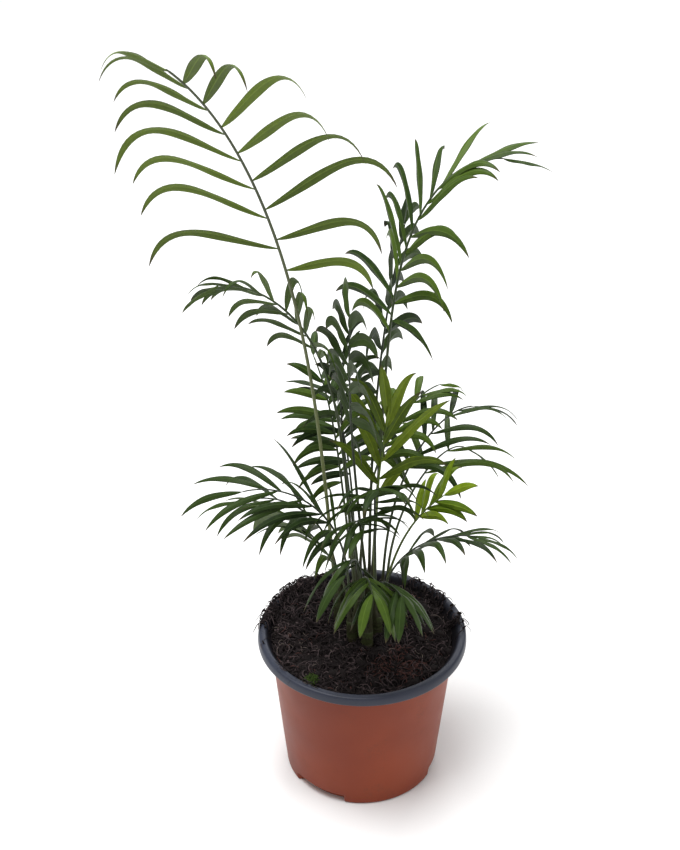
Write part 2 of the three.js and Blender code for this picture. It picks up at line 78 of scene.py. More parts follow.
def make_camera():
    """A long lens in front of the plant that looks down at its middle."""
    lens = bpy.data.cameras.new("camera")
    lens.lens = LENS
    lens.sensor_width = SENSOR
    lens.clip_start = NEAREST_SEEN
    seen = bpy.data.objects.new("camera", lens)
    bpy.context.scene.collection.objects.link(seen)
    seen.location = AIM + AWAY * Vector((0, -math.cos(LOOK_DOWN), math.sin(LOOK_DOWN)))
    seen.rotation_euler = (math.pi / 2 - LOOK_DOWN, 0, 0)
    return seen


bpy.context.scene.camera = make_camera()
print("camera at", np.round(bpy.context.scene.camera.location, 3).tolist())

# %% [markdown]
# ## Light and floor
#
# Houseplants are shown under an even, cloudy kind of light, so that thin leaves don't throw
# hard shadows on each other. That light is made with a bright surrounding world and three
# large lamps. The widest hangs overhead and to the left, a second one fills from the right,
# and a third from behind puts a pale sheen on the backs of the leaves.
#
# The Standard view keeps the greens and the terracotta as saturated as they are made.

# %% Light and floor
def soft_lamp(name, place, aim, size, power):
    """A large square lamp that shines from a place towards a point."""
    data = bpy.data.lights.new(name, "AREA")
    data.size = size
    data.energy = power
    lamp = bpy.data.objects.new(name, data)
    bpy.context.scene.collection.objects.link(lamp)
    lamp.location = place
    lamp.rotation_euler = (Vector(aim) - Vector(place)).to_track_quat("-Z", "Y").to_euler()
    return lamp


PLANT_MIDDLE = (0, 0, 0.25)
soft_lamp("lamp_overhead", (-0.4, -0.1, 2.0), PLANT_MIDDLE, 1.3, 50)
soft_lamp("lamp_right", (1.5, -0.6, 1.1), PLANT_MIDDLE, 1.0, 6)
soft_lamp("lamp_behind", (0.3, 1.6, 1.4), PLANT_MIDDLE, 1.2, 14)

world = bpy.data.worlds.new("studio")
world.use_nodes = True
world.node_tree.nodes["Background"].inputs["Color"].default_value = (1, 1, 0.99, 1)
world.node_tree.nodes["Background"].inputs["Strength"].default_value = 0.38
bpy.context.scene.world = world
bpy.context.scene.view_settings.view_transform = "Standard"

# %% [markdown]
# ## Helpers for nodes
#
# Each finish is a small tree of shader nodes. Written out by hand, a tree is long and hard to
# read, and most of it repeats. So a few helpers make the parts that every finish needs: a node
# with its inputs, a random grain, colours along a number, a mix of two colours, and bumps.

# %% Helpers for nodes
def add_node(finish, kind, inputs=None, **settings):
    """A shader node. An input given as a socket is linked, and any other is set."""
    made = finish.node_tree.nodes.new(kind)
    for key, value in settings.items():
        setattr(made, key, value)
    for key, value in (inputs or {}).items():
        if isinstance(value, bpy.types.NodeSocket):
            finish.node_tree.links.new(value, made.inputs[key])
        else:
            made.inputs[key].default_value = value
    return made


def reckon(finish, operation, *numbers):
    """The result of a sum on sockets or plain numbers."""
    return add_node(
        finish, "ShaderNodeMath", dict(enumerate(numbers)), operation=operation
    ).outputs[0]


def grain(finish, place, scale, detail=3, roughness=0.55):
    """A soft random pattern from 0 to 1 at a place."""
    return add_node(
        finish, "ShaderNodeTexNoise",
        {"Vector": place, "Scale": scale, "Detail": detail, "Roughness": roughness},
    ).outputs["Fac"]


def colours_along(finish, number, stops):
    """A colour for a number from 0 to 1, from (place, colour) stops."""
    ramp = add_node(finish, "ShaderNodeValToRGB", {"Fac": number})
    elements = ramp.color_ramp.elements
    while len(elements) < len(stops):
        elements.new(1)
    for element, (place, colour) in zip(elements, stops):
        element.position = place
        element.color = (*colour, 1)
    return ramp.outputs["Color"]


def blend(finish, share, first, second, mode="MIX"):
    """Two colours mixed by a share, which may be a socket."""
    made = add_node(
        finish, "ShaderNodeMix", {"Factor": share}, data_type="RGBA", blend_type=mode
    )
    for name, value in (("A", first), ("B", second)):
        socket = next(s for s in made.inputs if s.name == name and s.type == "RGBA")
        if isinstance(value, bpy.types.NodeSocket):
            finish.node_tree.links.new(value, socket)
        else:
            socket.default_value = (*value, 1)
    return next(s for s in made.outputs if s.type == "RGBA")


def bumps(finish, height, strength, distance):
    """Surface normals for a height pattern, whose full height is the distance."""
    return add_node(
        finish, "ShaderNodeBump",
        {"Height": height, "Strength": strength, "Distance": distance},
    ).outputs["Normal"]


def step_between(finish, number, start, end, low=0, high=1):
    """Low where a number is under start, high where it is over end, and a ramp between."""
    return add_node(
        finish, "ShaderNodeMapRange",
        {"Value": number, "From Min": start, "From Max": end, "To Min": low, "To Max": high},
    ).outputs["Result"]


def spread(finish, number, low, high):
    """A number from 0 to 1, stretched to run from low to high."""
    return step_between(finish, number, 0, 1, low, high)


def vector_of(finish, x, y, z):
    """Three sockets as one vector."""
    return add_node(finish, "ShaderNodeCombineXYZ", {"X": x, "Y": y, "Z": z}).outputs["Vector"]


def marks_on(finish, name):
    """The three numbers that each point of a mesh carries under a name."""
    marks = add_node(finish, "ShaderNodeAttribute", attribute_name=name).outputs["Vector"]
    return add_node(finish, "ShaderNodeSeparateXYZ", {"Vector": marks}).outputs


def start_finish(name):
    """A new material, its shader and the place of each point on the object."""
    finish = bpy.data.materials.new(name)
    finish.use_nodes = True
    shader = finish.node_tree.nodes["Principled BSDF"]
    place = add_node(finish, "ShaderNodeTexCoord").outputs["Object"]
    return finish, shader, place


def join(finish, source, shader, name):
    """Links a socket to one of a shader's inputs."""
    finish.node_tree.links.new(source, shader.inputs[name])


def shade(code):
    """The linear colour of a hex code such as 'a65a3e'."""
    parts = [int(code[i:i + 2], 16) / 255 for i in (0, 2, 4)]
    return tuple(c / 12.92 if c < 0.04045 else ((c + 0.055) / 1.055) ** 2.4 for c in parts)


# %% [markdown]
# ## Helpers for meshes
#
# Nearly everything on a plant is a stalk or a blade, and both are tubes: a run of closed
# rings joined by four-sided faces, with a cap on each end. A stalk's ring is round and a
# leaf's ring is as flat as paper. So one helper that joins rings makes canes, ribs, leaflets
# and the fibres in the peat, and many tubes of the same kind go into one mesh at once.

# %% Helpers for meshes
def tube_faces(count, stations, around):
    """Faces of `count` tubes of `stations` rings with `around` points, and their caps."""
    tube = np.arange(count)[:, None, None] * stations * around
    ring = np.arange(stations - 1)[None, :, None] * around
    turn = np.arange(around)[None, None, :]
    after = (turn + 1) % around
    low = tube + ring
    sides = np.stack([low + turn, low + after, low + around + after, low + around + turn], -1)
    start = tube[:, :, 0]
    foot = start + np.arange(around)[None, ::-1]
    tip = start + (stations - 1) * around + np.arange(around)[None, :]
    return [sides.reshape(-1, 4), np.concatenate([foot, tip])]


def mesh_of(name, points, face_groups, marks=None):
    """A mesh from points and groups of faces, each group with its own number of corners."""
    mesh = bpy.data.meshes.new(name)
    points = np.asarray(points, np.float32).reshape(-1, 3)
    corners = np.concatenate([group.ravel() for group in face_groups]).astype(np.int32)
    sizes = np.concatenate([np.full(len(group), group.shape[1]) for group in face_groups])
    mesh.vertices.add(len(points))
    mesh.vertices.foreach_set("co", points.ravel())
    mesh.loops.add(len(corners))
    mesh.loops.foreach_set("vertex_index", corners)
    mesh.polygons.add(len(sizes))
    starts = np.concatenate([[0], np.cumsum(sizes)[:-1]]).astype(np.int32)
    mesh.polygons.foreach_set("loop_start", starts)
    mesh.update(calc_edges=True)
    for mark, values in (marks or {}).items():
        attribute = mesh.attributes.new(mark, "FLOAT_VECTOR", "POINT")
        attribute.data.foreach_set("vector", np.asarray(values, np.float32).ravel())
    return mesh


def place_piece(mesh, finishes, stands_for=()):
    """Puts a mesh on the plant as a piece that rides with it and stands for solids."""
    piece = bpy.data.objects.new(mesh.name, mesh)
    bpy.context.scene.collection.objects.link(piece)
    for finish in finishes:
        mesh.materials.append(finish)
    mesh.polygons.foreach_set("use_smooth", np.full(len(mesh.polygons), True))
    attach(piece, "root")
    if stands_for:
        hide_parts(*stands_for)
    return piece


def unit(vectors):
    """Vectors scaled to length one."""
    return vectors / np.linalg.norm(vectors, axis=-1, keepdims=True)


def round_tubes(lines, radii, sides):
    """Rings of round tubes along lines of points, shaped (tubes, stations, 3)."""
    ways = unit(np.gradient(lines, axis=1))
    level = unit(np.cross(ways, [0.02, 0.03, 1.0]))
    over = np.cross(level, ways)
    turn = np.linspace(0, 2 * math.pi, sides, endpoint=False)
    ring = level[:, :, None] * np.cos(turn)[:, None] + over[:, :, None] * np.sin(turn)[:, None]
    return lines[:, :, None] + ring * np.asarray(radii)[..., None, None]


# %% [markdown]
# ## Finishes of the pot
#
# The pot is thermoformed from a two-colour sheet: terracotta brown outside, slate grey
# inside. The rim is rolled outward, so it shows the grey side. New plastic has no grain, but
# it is never quite even either. The sheet is thinner where it was drawn most, and handling
# leaves dull patches, so colour and roughness drift slowly over the surface, and a very fine
# bump gives the matt skin of pressed plastic. Inside the rim the slate is painted darker
# inward from the lip: partly dust, and partly painted shade in the collar under the lip.

# %% Finishes of the pot
# Radii where the painted shade and dust inside the rim is full, and where it ends.
SHADE_AND_DUST_WITHIN = 58.5 * MM
UNDARKENED_BEYOND = 61 * MM


def pot_plastic(name, light, dark, dust_and_shade, dust_share, roughness, inner_shade_and_dust=0):
    """Pressed plastic in two near shades, with dust, and dust with painted shade inside the rim.
    """
    finish, shader, place = start_finish(name)
    drift = grain(finish, place, 14, detail=2)
    colour = colours_along(finish, drift, [(0.3, dark), (0.7, light)])
    level = add_node(
        finish, "ShaderNodeVectorMath", {0: place, 1: (1, 1, 0)}, operation="MULTIPLY"
    ).outputs["Vector"]
    radius = add_node(
        finish, "ShaderNodeVectorMath", {0: level}, operation="LENGTH"
    ).outputs["Value"]
    # Painted shade and dust: inside the rim the colour darkens inward from the lip.
    inside = step_between(finish, radius, SHADE_AND_DUST_WITHIN, UNDARKENED_BEYOND, inner_shade_and_dust, 0)
    colour = blend(finish, inside, colour, dust_and_shade)
    specks = grain(finish, place, 900, detail=4, roughness=0.75)
    patches = grain(finish, place, 60, detail=3)
    cover = reckon(finish, "MULTIPLY", specks, patches)
    dusty = step_between(finish, cover, 0.3, 0.42, 0, dust_share)
    join(finish, blend(finish, dusty, colour, dust_and_shade), shader, "Base Color")
    join(finish, spread(finish, patches, roughness - 0.07, roughness + 0.1), shader, "Roughness")
    skin = grain(finish, place, 2600, detail=2)
    join(finish, bumps(finish, skin, 0.12, 0.00008), shader, "Normal")
    shader.inputs["Specular IOR Level"].default_value = 0.22
    return finish


terracotta = pot_plastic(
    "terracotta_plastic", shade("893b1f"), shade("742d16"), shade("4a3428"), 0.25, 0.44
)
# The slate darkens inside the rim: painted shade together with dust.
slate = pot_plastic(
    "slate_plastic", shade("3a3e4c"), shade("2d303b"), shade("120e0e"), 0.5, 0.38, inner_shade_and_dust=0.9
)
print("pot finishes:", terracotta.name, slate.name)

# %% [markdown]
# ## The pot
#
# The pot is a turned shape, so its outline is drawn once as pairs of radius and height, its
# corners are rounded by cutting them again and again, and it is spun about the middle. Three
# shallow dents around the foot let water out from under it. They are made by pulling the wall
# inward over a stretch of its turn, with soft ends, which gives the melted look of a pressed
# dent that a sharp cut wouldn't.

# %% Sizes of the pot
FOOT_RADIUS = 48 * MM
WALL_TOP_RADIUS = 57.6 * MM
WALL_TOP = 94.8 * MM
WALL = 1.1 * MM
FLOOR = 1.5 * MM
DENT_BEARINGS = (115, 235, 355)
DENT_HALF_WIDTH = math.radians(21)
DENT_HEIGHT = 5.6 * MM
DENT_DEPTH = 3.8 * MM
DENT_END = 38 * MM
FLOOR_RING = 20 * MM
WALL_WAVE = 0.12 * MM
RIM_OUTER = 65 * MM
RIM_INNER = 60 * MM
RIM_TOP = 101.4 * MM
SKIRT_FOOT = 95.6 * MM
RIM_SHEET = 1.0 * MM
SPIN = 300


def rounded(outline, rounds, closed=False):
    """An outline with its corners cut smooth, its ends kept unless it is closed."""
    points = np.asarray(outline, float)
    for _ in range(rounds):
        if closed:
            after = np.roll(points, -1, axis=0)
        else:
            first, last = points[:1], points[-1:]
            points, after = points[:-1], points[1:]
        cut = np.stack([0.75 * points + 0.25 * after, 0.25 * points + 0.75 * after], 1)
        points = cut.reshape(-1, 2)
        if not closed:
            points = np.concatenate([first, points, last])
    return points


def softened(low, high, number):
    """0 below low, 1 above high, and a smooth step between."""
    t = np.clip((number - low) / (high - low), 0, 1)
    return t * t * (3 - 2 * t)


def spun(outline, reshape=None):
    """Points of an outline spun about the middle, ring by ring, as (ring, turn, 3)."""
    turn = np.linspace(0, 2 * math.pi, SPIN, endpoint=False)
    radius = np.repeat(outline[:, 0][:, None], SPIN, axis=1)
    height = np.repeat(outline[:, 1][:, None], SPIN, axis=1)
    if reshape:
        radius, height = reshape(radius, height, turn[None, :])
    return np.stack([radius * np.cos(turn), radius * np.sin(turn), height], -1)


def dented(radius, height, turn):
    """Pulls the wall inward at the three dents around the foot, and bows it a little above."""
    pull = np.zeros_like(radius)
    edge = 1.2 * MM / FOOT_RADIUS
    for bearing in DENT_BEARINGS:
        away = np.abs((turn - math.radians(bearing) + math.pi) % (2 * math.pi) - math.pi)
        pull = np.maximum(pull, 1 - softened(DENT_HALF_WIDTH - edge, DENT_HALF_WIDTH + edge, away))
    pull = pull * (1 - softened(DENT_HEIGHT - 0.7 * MM, DENT_HEIGHT + 0.9 * MM, height))
    inward = np.minimum(DENT_DEPTH, np.maximum(0, radius - DENT_END))
    wave = WALL_WAVE * np.sin(5 * turn + 1) * softened(10 * MM, 90 * MM, height)
    return radius - inward * pull + wave, height


# %% The pot's wall
def wall_radius(height):
    """Radius of the outside at a height."""
    return FOOT_RADIUS + (WALL_TOP_RADIUS - FOOT_RADIUS) * (height / WALL_TOP)


def steps(start, end, count):
    """Points on a straight line between two, without its first point."""
    share = np.linspace(0, 1, count + 1)[1:, None]
    return (1 - share) * np.asarray(start) + share * np.asarray(end)


def make_pot_wall():
    """The wall and floor of the pot as one skin, terracotta outside and slate inside."""
    foot = rounded([
        [FOOT_RADIUS - 3 * MM, 0],
        [FOOT_RADIUS - 0.2 * MM, 0],
        [wall_radius(2.6 * MM), 2.6 * MM],
    ], 3)
    low = steps(foot[-1], [wall_radius(9 * MM), 9 * MM], 9)
    high = steps(low[-1], [WALL_TOP_RADIUS, WALL_TOP], 16)
    outside = np.concatenate([[[FLOOR_RING, 0], [DENT_END, 0]], foot, low, high])
    inside = np.array([
        [WALL_TOP_RADIUS - WALL, WALL_TOP],
        [wall_radius(9 * MM) - WALL, 9 * MM],
        [wall_radius(5 * MM) - WALL, 5 * MM],
        [wall_radius(FLOOR) - WALL - 1.5 * MM, FLOOR + 0.6 * MM],
        [wall_radius(FLOOR) - WALL - 4 * MM, FLOOR],
        [FLOOR_RING, FLOOR],
    ])
    rings = spun(np.concatenate([outside, inside]), dented)
    faces = tube_faces(1, len(rings), SPIN)
    mesh = mesh_of("pot_wall", rings, faces)
    piece = place_piece(mesh, [terracotta, slate], ["pot"])
    first_inside = (len(outside) - 1) * SPIN
    last_inside = (len(rings) - 1) * SPIN
    kinds = np.zeros(len(mesh.polygons), np.int32)
    kinds[first_inside:last_inside] = 1
    kinds[-1] = 1
    mesh.polygons.foreach_set("material_index", kinds)
    return piece


pot_wall = make_pot_wall()
print("pot wall faces:", len(pot_wall.data.polygons))

# %% [markdown]
# ## The rim
#
# The rim is the stiffest part of such a pot: the sheet runs up, flares, rolls over and comes
# down in a short skirt, which gives the fingers something to hold. It is drawn as one closed
# outline, so the roll has the real thickness of the sheet at its lower edge.

# %% The rim
def rim_wave(radius, height, turn):
    """A rim is never a perfect circle: it bows in and out by a fifth of a millimetre."""
    bow = 0.2 * MM * np.sin(3 * turn + 0.6) + 0.1 * MM * np.sin(7 * turn)
    return radius + bow * softened(96 * MM, RIM_TOP, height), height


def make_rim():
    """The flared and rolled rim, a closed outline spun about the middle."""
    collar = WALL_TOP_RADIUS - WALL + 0.1 * MM
    seat = WALL_TOP + 0.3 * MM
    under = RIM_TOP - RIM_SHEET
    outline = rounded([
        [collar, seat],
        [WALL_TOP_RADIUS + 0.4 * MM, seat],
        [RIM_INNER - 0.2 * MM, RIM_TOP - 3.5 * MM],
        [RIM_INNER + 1.4 * MM, under - 0.2 * MM],
        [RIM_OUTER - 1.9 * MM, under - 0.3 * MM],
        [RIM_OUTER - RIM_SHEET, under - 1.6 * MM],
        [RIM_OUTER - RIM_SHEET + 0.1 * MM, SKIRT_FOOT],
        [RIM_OUTER + 0.25 * MM, SKIRT_FOOT],
        [RIM_OUTER + 0.1 * MM, RIM_TOP - 2.2 * MM],
        [RIM_OUTER - 0.7 * MM, RIM_TOP - 0.2 * MM],
        [RIM_OUTER - 2.6 * MM, RIM_TOP + 0.1 * MM],
        [RIM_INNER + 0.2 * MM, RIM_TOP - 0.1 * MM],
        [collar + 1.8 * MM, RIM_TOP - 3.4 * MM],
        [collar, seat + 0.4 * MM],
    ], 3, closed=True)
    rings = spun(outline, rim_wave)
    count = len(outline)
    ring = np.arange(count)[:, None] * SPIN
    after = ((np.arange(count) + 1) % count)[:, None] * SPIN
    turn = np.arange(SPIN)[None, :]
    beside = (turn + 1) % SPIN
    faces = np.stack([ring + turn, ring + beside, after + beside, after + turn], -1)
    mesh = mesh_of("pot_rim_rolled", rings, [faces.reshape(-1, 4)])
    return place_piece(mesh, [slate], ["pot_rim"])


rim = make_rim()
print("rim faces:", len(rim.data.polygons))

# %% [markdown]
# ## The peat
#
# Peat is a mat of dark crumbs and curled fibres. Its broad shape comes from the same rule as
# the solid under it: a gentle slope up towards the back left, with low lumps. On top of that
# come smaller and smaller lumps, each made of a few crossing waves. Waves are folded at zero,
# which turns soft hills into crumbs with creases between them. Because the rule is a plain
# function of a place, fibres and crumbs can ask it how high the ground is where they lie.

# %% The height of the peat
PEAT_LEVEL = 95.8 * MM
PEAT_TILT = 3.0 * MM
PEAT_HIGH_SIDE = math.radians(125)
PEAT_LUMP = 0.7 * MM
PEAT_EDGE = WALL_TOP_RADIUS - WALL - 0.4 * MM
CRUMB_WAVES = ((13 * MM, 1.5 * MM), (6.5 * MM, 1.3 * MM), (3.1 * MM, 0.9 * MM),
               (1.7 * MM, 0.45 * MM))
WAVES_IN_SET = 5
FOLD_GAIN = 1.6
BED_SUNK = 0.6 * MM
EDGE_DIP = 1.6 * MM
EDGE_SLOPE = 5 * MM
draw = np.random.default_rng(7)
WAVE_SETS = [
    (length, height, draw.uniform(0, 2 * math.pi, (WAVES_IN_SET, 2)))
    for length, height in CRUMB_WAVES
]


def peat_height(x, y):
    """The solid's own surface."""
    share = np.hypot(x, y) / WALL_TOP_RADIUS
    turn = np.arctan2(y, x)
    slope = PEAT_TILT * share * np.cos(turn - PEAT_HIGH_SIDE)
    lumps = PEAT_LUMP * share * (np.sin(3 * turn + 1) + 0.6 * np.sin(5 * turn))
    return PEAT_LEVEL + slope + lumps


def ground(x, y):
    """The crumbly surface that lies over it, dipping at the pot's wall."""
    height = peat_height(x, y) - BED_SUNK
    for length, size, waves in WAVE_SETS:
        folds = sum(
            np.abs(np.sin(math.pi * (x * math.cos(a) + y * math.sin(a)) / length + b))
            for a, b in waves
        )
        height = height + size * (folds / len(waves) - 0.5) * FOLD_GAIN
    return height - EDGE_DIP * softened(PEAT_EDGE - EDGE_SLOPE, PEAT_EDGE, np.hypot(x, y))


# %% Finishes of the peat
def peat_finish(name, dark, light, scale):
    """Damp fibrous earth in two shades."""
    finish, shader, place = start_finish(name)
    clods = grain(finish, place, scale, detail=5, roughness=0.65)
    fine = grain(finish, place, scale * 7, detail=4, roughness=0.7)
    share = reckon(finish, "MULTIPLY_ADD", fine, 0.5, reckon(finish, "MULTIPLY", clods, 0.5))
    colour = colours_along(finish, share, [(0.36, dark), (0.62, light)])
    join(finish, colour, shader, "Base Color")
    join(finish, spread(finish, fine, 0.8, 1.0), shader, "Roughness")
    join(finish, bumps(finish, fine, 0.6, 0.0006), shader, "Normal")
    shader.inputs["Specular IOR Level"].default_value = 0.25
    return finish


peat_dark = peat_finish("peat", shade("080606"), shade("1f1717"), 150)
fibre_finishes = {
    "dark": peat_finish("fibre_dark", shade("110d0d"), shade("2f2627"), 400),
    "brown": peat_finish("fibre_brown", shade("2c2324"), shade("5c4f50"), 400),
    "red": peat_finish("fibre_red", shade("35201e"), shade("6d4a44"), 400),
    "pale": peat_finish("fibre_pale", shade("544a46"), shade("83776f"), 400),
    "moss": peat_finish("moss", shade("1b2a0e"), shade("43591f"), 500),
}

# %% The bed of peat
def make_peat():
    """The crumbly top on a grid of rings, closed by a side and a floor inside the pot."""
    across, around = 130, 400
    radius = PEAT_EDGE * np.linspace(0.004, 1, across) ** 0.8
    turn = np.linspace(0, 2 * math.pi, around, endpoint=False)
    x = radius[:, None] * np.cos(turn)
    y = radius[:, None] * np.sin(turn)
    top = np.stack([x, y, ground(x, y)], -1)
    side = []
    for height, inset in ((60 * MM, 0.4 * MM), (8 * MM, 0.6 * MM), (2 * MM, 5 * MM)):
        reach = wall_radius(height) - WALL - inset
        ring = [reach * np.cos(turn), reach * np.sin(turn), np.full(around, height)]
        side.append(np.stack(ring, -1))
    rings = np.concatenate([top, side])
    mesh = mesh_of("peat_bed", rings, tube_faces(1, len(rings), around))
    mesh.flip_normals()
    return place_piece(mesh, [peat_dark], ["soil"])


peat_bed = make_peat()
print("peat faces:", len(peat_bed.data.polygons))

# %% [markdown]
# ## Fibres and crumbs
#
# A simulation could drop thousands of bits on the peat, but it would be slow and would change
# from run to run. It is enough to walk each fibre over the ground: it starts somewhere, its
# heading drifts as it goes, it rests on the ground at both ends and lifts a little between.
# All fibres of one colour are walked together as arrays and joined into one mesh.

# %% Fibres
BED_EDGE = PEAT_EDGE + 0.3 * MM
FIBRE_STATIONS = 9
FIBRE_SIDES = 5


def walk_fibres(starts, lengths, curl, lift, seed, height=ground, edge=BED_EDGE):
    """Lines over the ground from starting points, shaped (fibres, stations, 3)."""
    own = np.random.default_rng(seed)
    count = len(starts)
    heading = own.uniform(0, 2 * math.pi, count)[:, None]
    bend = own.normal(0, curl, (count, 1))
    bend = bend + own.normal(0, 0.5 * curl, (count, FIBRE_STATIONS))
    heading = heading + np.cumsum(bend, axis=1)
    step = (lengths / (FIBRE_STATIONS - 1))[:, None]
    x = starts[:, :1] + np.cumsum(step * np.cos(heading), axis=1)
    y = starts[:, 1:] + np.cumsum(step * np.sin(heading), axis=1)
    reach = np.hypot(x, y)
    keep_in = np.minimum(1, edge / reach)
    x, y = x * keep_in, y * keep_in
    along = np.linspace(0, 1, FIBRE_STATIONS)
    rise = own.uniform(0, lift, (count, 1)) * np.sin(math.pi * along) ** 0.8
    tilt = own.uniform(-0.3, 1, (count, 1)) * lift * 0.5 * along
    smooth = height(x, y)
    smooth = 0.5 * smooth + 0.25 * (np.roll(smooth, 1, axis=1) + np.roll(smooth, -1, axis=1))
    smooth[:, [0, -1]] = height(x, y)[:, [0, -1]]
    return np.stack([x, y, smooth + rise + tilt], -1)


def fibre_mesh(name, lines, thickness, seed):
    """Thin tubes along the lines, thinning to both ends."""
    own = np.random.default_rng(seed)
    along = np.linspace(0, 1, lines.shape[1])
    thin = 0.35 + 0.65 * np.sin(math.pi * np.clip(along, 0.02, 0.98)) ** 0.6
    radii = own.uniform(0.5, 1, (len(lines), 1)) * thickness * thin
    rings = round_tubes(lines, radii, FIBRE_SIDES)
    return mesh_of(name, rings, tube_faces(*rings.shape[:3]))


def scattered(count, seed, middle=(0, 0), reach=PEAT_EDGE - 1 * MM):
    """Points scattered evenly over a round patch, kept on the peat."""
    own = np.random.default_rng(seed)
    radius = reach * np.sqrt(own.uniform(0, 1, count))
    turn = own.uniform(0, 2 * math.pi, count)
    points = np.stack([radius * np.cos(turn), radius * np.sin(turn)], -1) + np.asarray(middle)
    away = np.hypot(points[:, 0], points[:, 1])
    return points * np.minimum(1, (PEAT_EDGE - 1 * MM) / away)[:, None]


def in_patches(count, seed, across=17 * MM):
    """Points scattered in loose patches, with barer peat left between them."""
    points = scattered(4 * count, seed)
    x, y = 2 * math.pi * points.T / across
    wave = np.sin(x + 1.3 * np.sin(0.7 * y)) + np.sin(0.9 * y + 1.1 * np.sin(0.6 * x))
    luck = np.random.default_rng(seed + 200).uniform(-1.6, 1.6, len(points))
    return points[np.argsort(luck - wave)[:count]]


RED_PATCH = (22 * MM, -26 * MM)
RED_PATCH_RADIUS = 16 * MM
RED_IN_PATCH = 220
FIBRES = {
    # kind: how many, shortest and longest, thickness, curl, lift
    "dark": (800, 6 * MM, 18 * MM, 0.5 * MM, 0.25, 3 * MM),
    "brown": (430, 4 * MM, 13 * MM, 0.42 * MM, 0.27, 3 * MM),
    "red": (300, 4 * MM, 11 * MM, 0.28 * MM, 0.5, 2.4 * MM),
    "pale": (60, 4 * MM, 12 * MM, 0.26 * MM, 0.35, 3 * MM),
}
FIBRE_SEEDS = dict(starts=20, red_patch=30, lengths=40, walks=50, girths=60)
for number, (kind, (count, short, long, thick, curl, lift)) in enumerate(FIBRES.items()):
    starts = in_patches(count, FIBRE_SEEDS["starts"] + number)
    if kind == "red":
        gathered = scattered(RED_IN_PATCH, FIBRE_SEEDS["red_patch"], RED_PATCH, RED_PATCH_RADIUS)
        starts[:RED_IN_PATCH] = gathered
    own = np.random.default_rng(FIBRE_SEEDS["lengths"] + number)
    lengths = own.uniform(short, long, count)
    lines = walk_fibres(starts, lengths, curl, lift, FIBRE_SEEDS["walks"] + number)
    mesh = fibre_mesh(f"fibres_{kind}", lines, thick, FIBRE_SEEDS["girths"] + number)
    place_piece(mesh, [fibre_finishes[kind]])
    print("fibres", kind, count)

# %% [markdown]
# Crumbs are rough little balls. One ball is made, then copied, stretched, turned and dented
# by plain arithmetic on its points, because two thousand separate objects would slow Blender
# down and couldn't be told apart anyway.

# %% Crumbs
def rough_ball():
    """Points and faces of one small ball."""
    bpy.ops.mesh.primitive_ico_sphere_add(subdivisions=2, radius=1)
    ball = bpy.context.object
    points = np.array([v.co for v in ball.data.vertices])
    faces = np.array([list(p.vertices) for p in ball.data.polygons])
    bpy.data.objects.remove(ball)
    return points, faces


def crumb_mesh(name, places, sizes, flatness, seed):
    """Many balls, each stretched, turned and dented in its own way."""
    own = np.random.default_rng(seed)
    points, faces = rough_ball()
    count = len(places)
    turns = unit(own.normal(size=(count, 4)))
    w, x, y, z = turns.T
    turn = np.stack([
        1 - 2 * (y * y + z * z), 2 * (x * y - z * w), 2 * (x * z + y * w),
        2 * (x * y + z * w), 1 - 2 * (x * x + z * z), 2 * (y * z - x * w),
        2 * (x * z - y * w), 2 * (y * z + x * w), 1 - 2 * (x * x + y * y),
    ], -1).reshape(count, 3, 3)
    stretch = own.uniform([0.7, 0.55, flatness[0]], [1.3, 1, flatness[1]], (count, 3))
    dents = 1 + own.uniform(-0.22, 0.22, (count, len(points), 1))
    shaped = points[None] * dents * stretch[:, None]
    shaped = np.einsum("nij,npj->npi", turn, shaped) * sizes[:, None, None]
    shaped = shaped + places[:, None]
    all_faces = faces[None] + (np.arange(count) * len(points))[:, None, None]
    return mesh_of(name, shaped, [all_faces.reshape(-1, 3)])


def on_ground(points, sink):
    """Points on the crumbly surface, let down by a share of their size."""
    height = ground(points[:, 0], points[:, 1]) - sink
    return np.concatenate([points, height[:, None]], axis=1)


CRUMBS = {
    # name: how many, smallest and largest radius, thinnest and fattest, finish
    "clods": (90, 2.4 * MM, 5.6 * MM, (0.4, 0.8), peat_dark),
    "crumbs_dark": (1000, 0.7 * MM, 2.3 * MM, (0.5, 0.9), peat_dark),
    "crumbs_brown": (420, 0.5 * MM, 1.6 * MM, (0.4, 0.8), fibre_finishes["brown"]),
    "flakes": (420, 1.2 * MM, 3.8 * MM, (0.12, 0.3), fibre_finishes["dark"]),
    "specks_pale": (16, 0.3 * MM, 0.6 * MM, (0.6, 1.0), fibre_finishes["pale"]),
}
CRUMB_SEEDS = dict(sizes=80, places=90, shapes=100)
MOSTLY_SMALL = 0.6  # the power of the draw: below 1 it favours the small ones
for number, (name, (count, small, large, flatness, finish)) in enumerate(CRUMBS.items()):
    own = np.random.default_rng(CRUMB_SEEDS["sizes"] + number)
    sizes = small + (large - small) * own.power(MOSTLY_SMALL, count)
    places = on_ground(scattered(count, CRUMB_SEEDS["places"] + number), 0.1 * sizes)
    mesh = crumb_mesh(name, places, sizes, flatness, CRUMB_SEEDS["shapes"] + number)
    place_piece(mesh, [finish])
    print(name, count)

# %% [markdown]
# ## A tuft of moss
#
# Peat that is kept damp grows moss. One small tuft stands near the rim at the front left. Its
# shoots are fibres like the others, only short, straight and lifted at one end, so the same
# walk over the ground makes them.

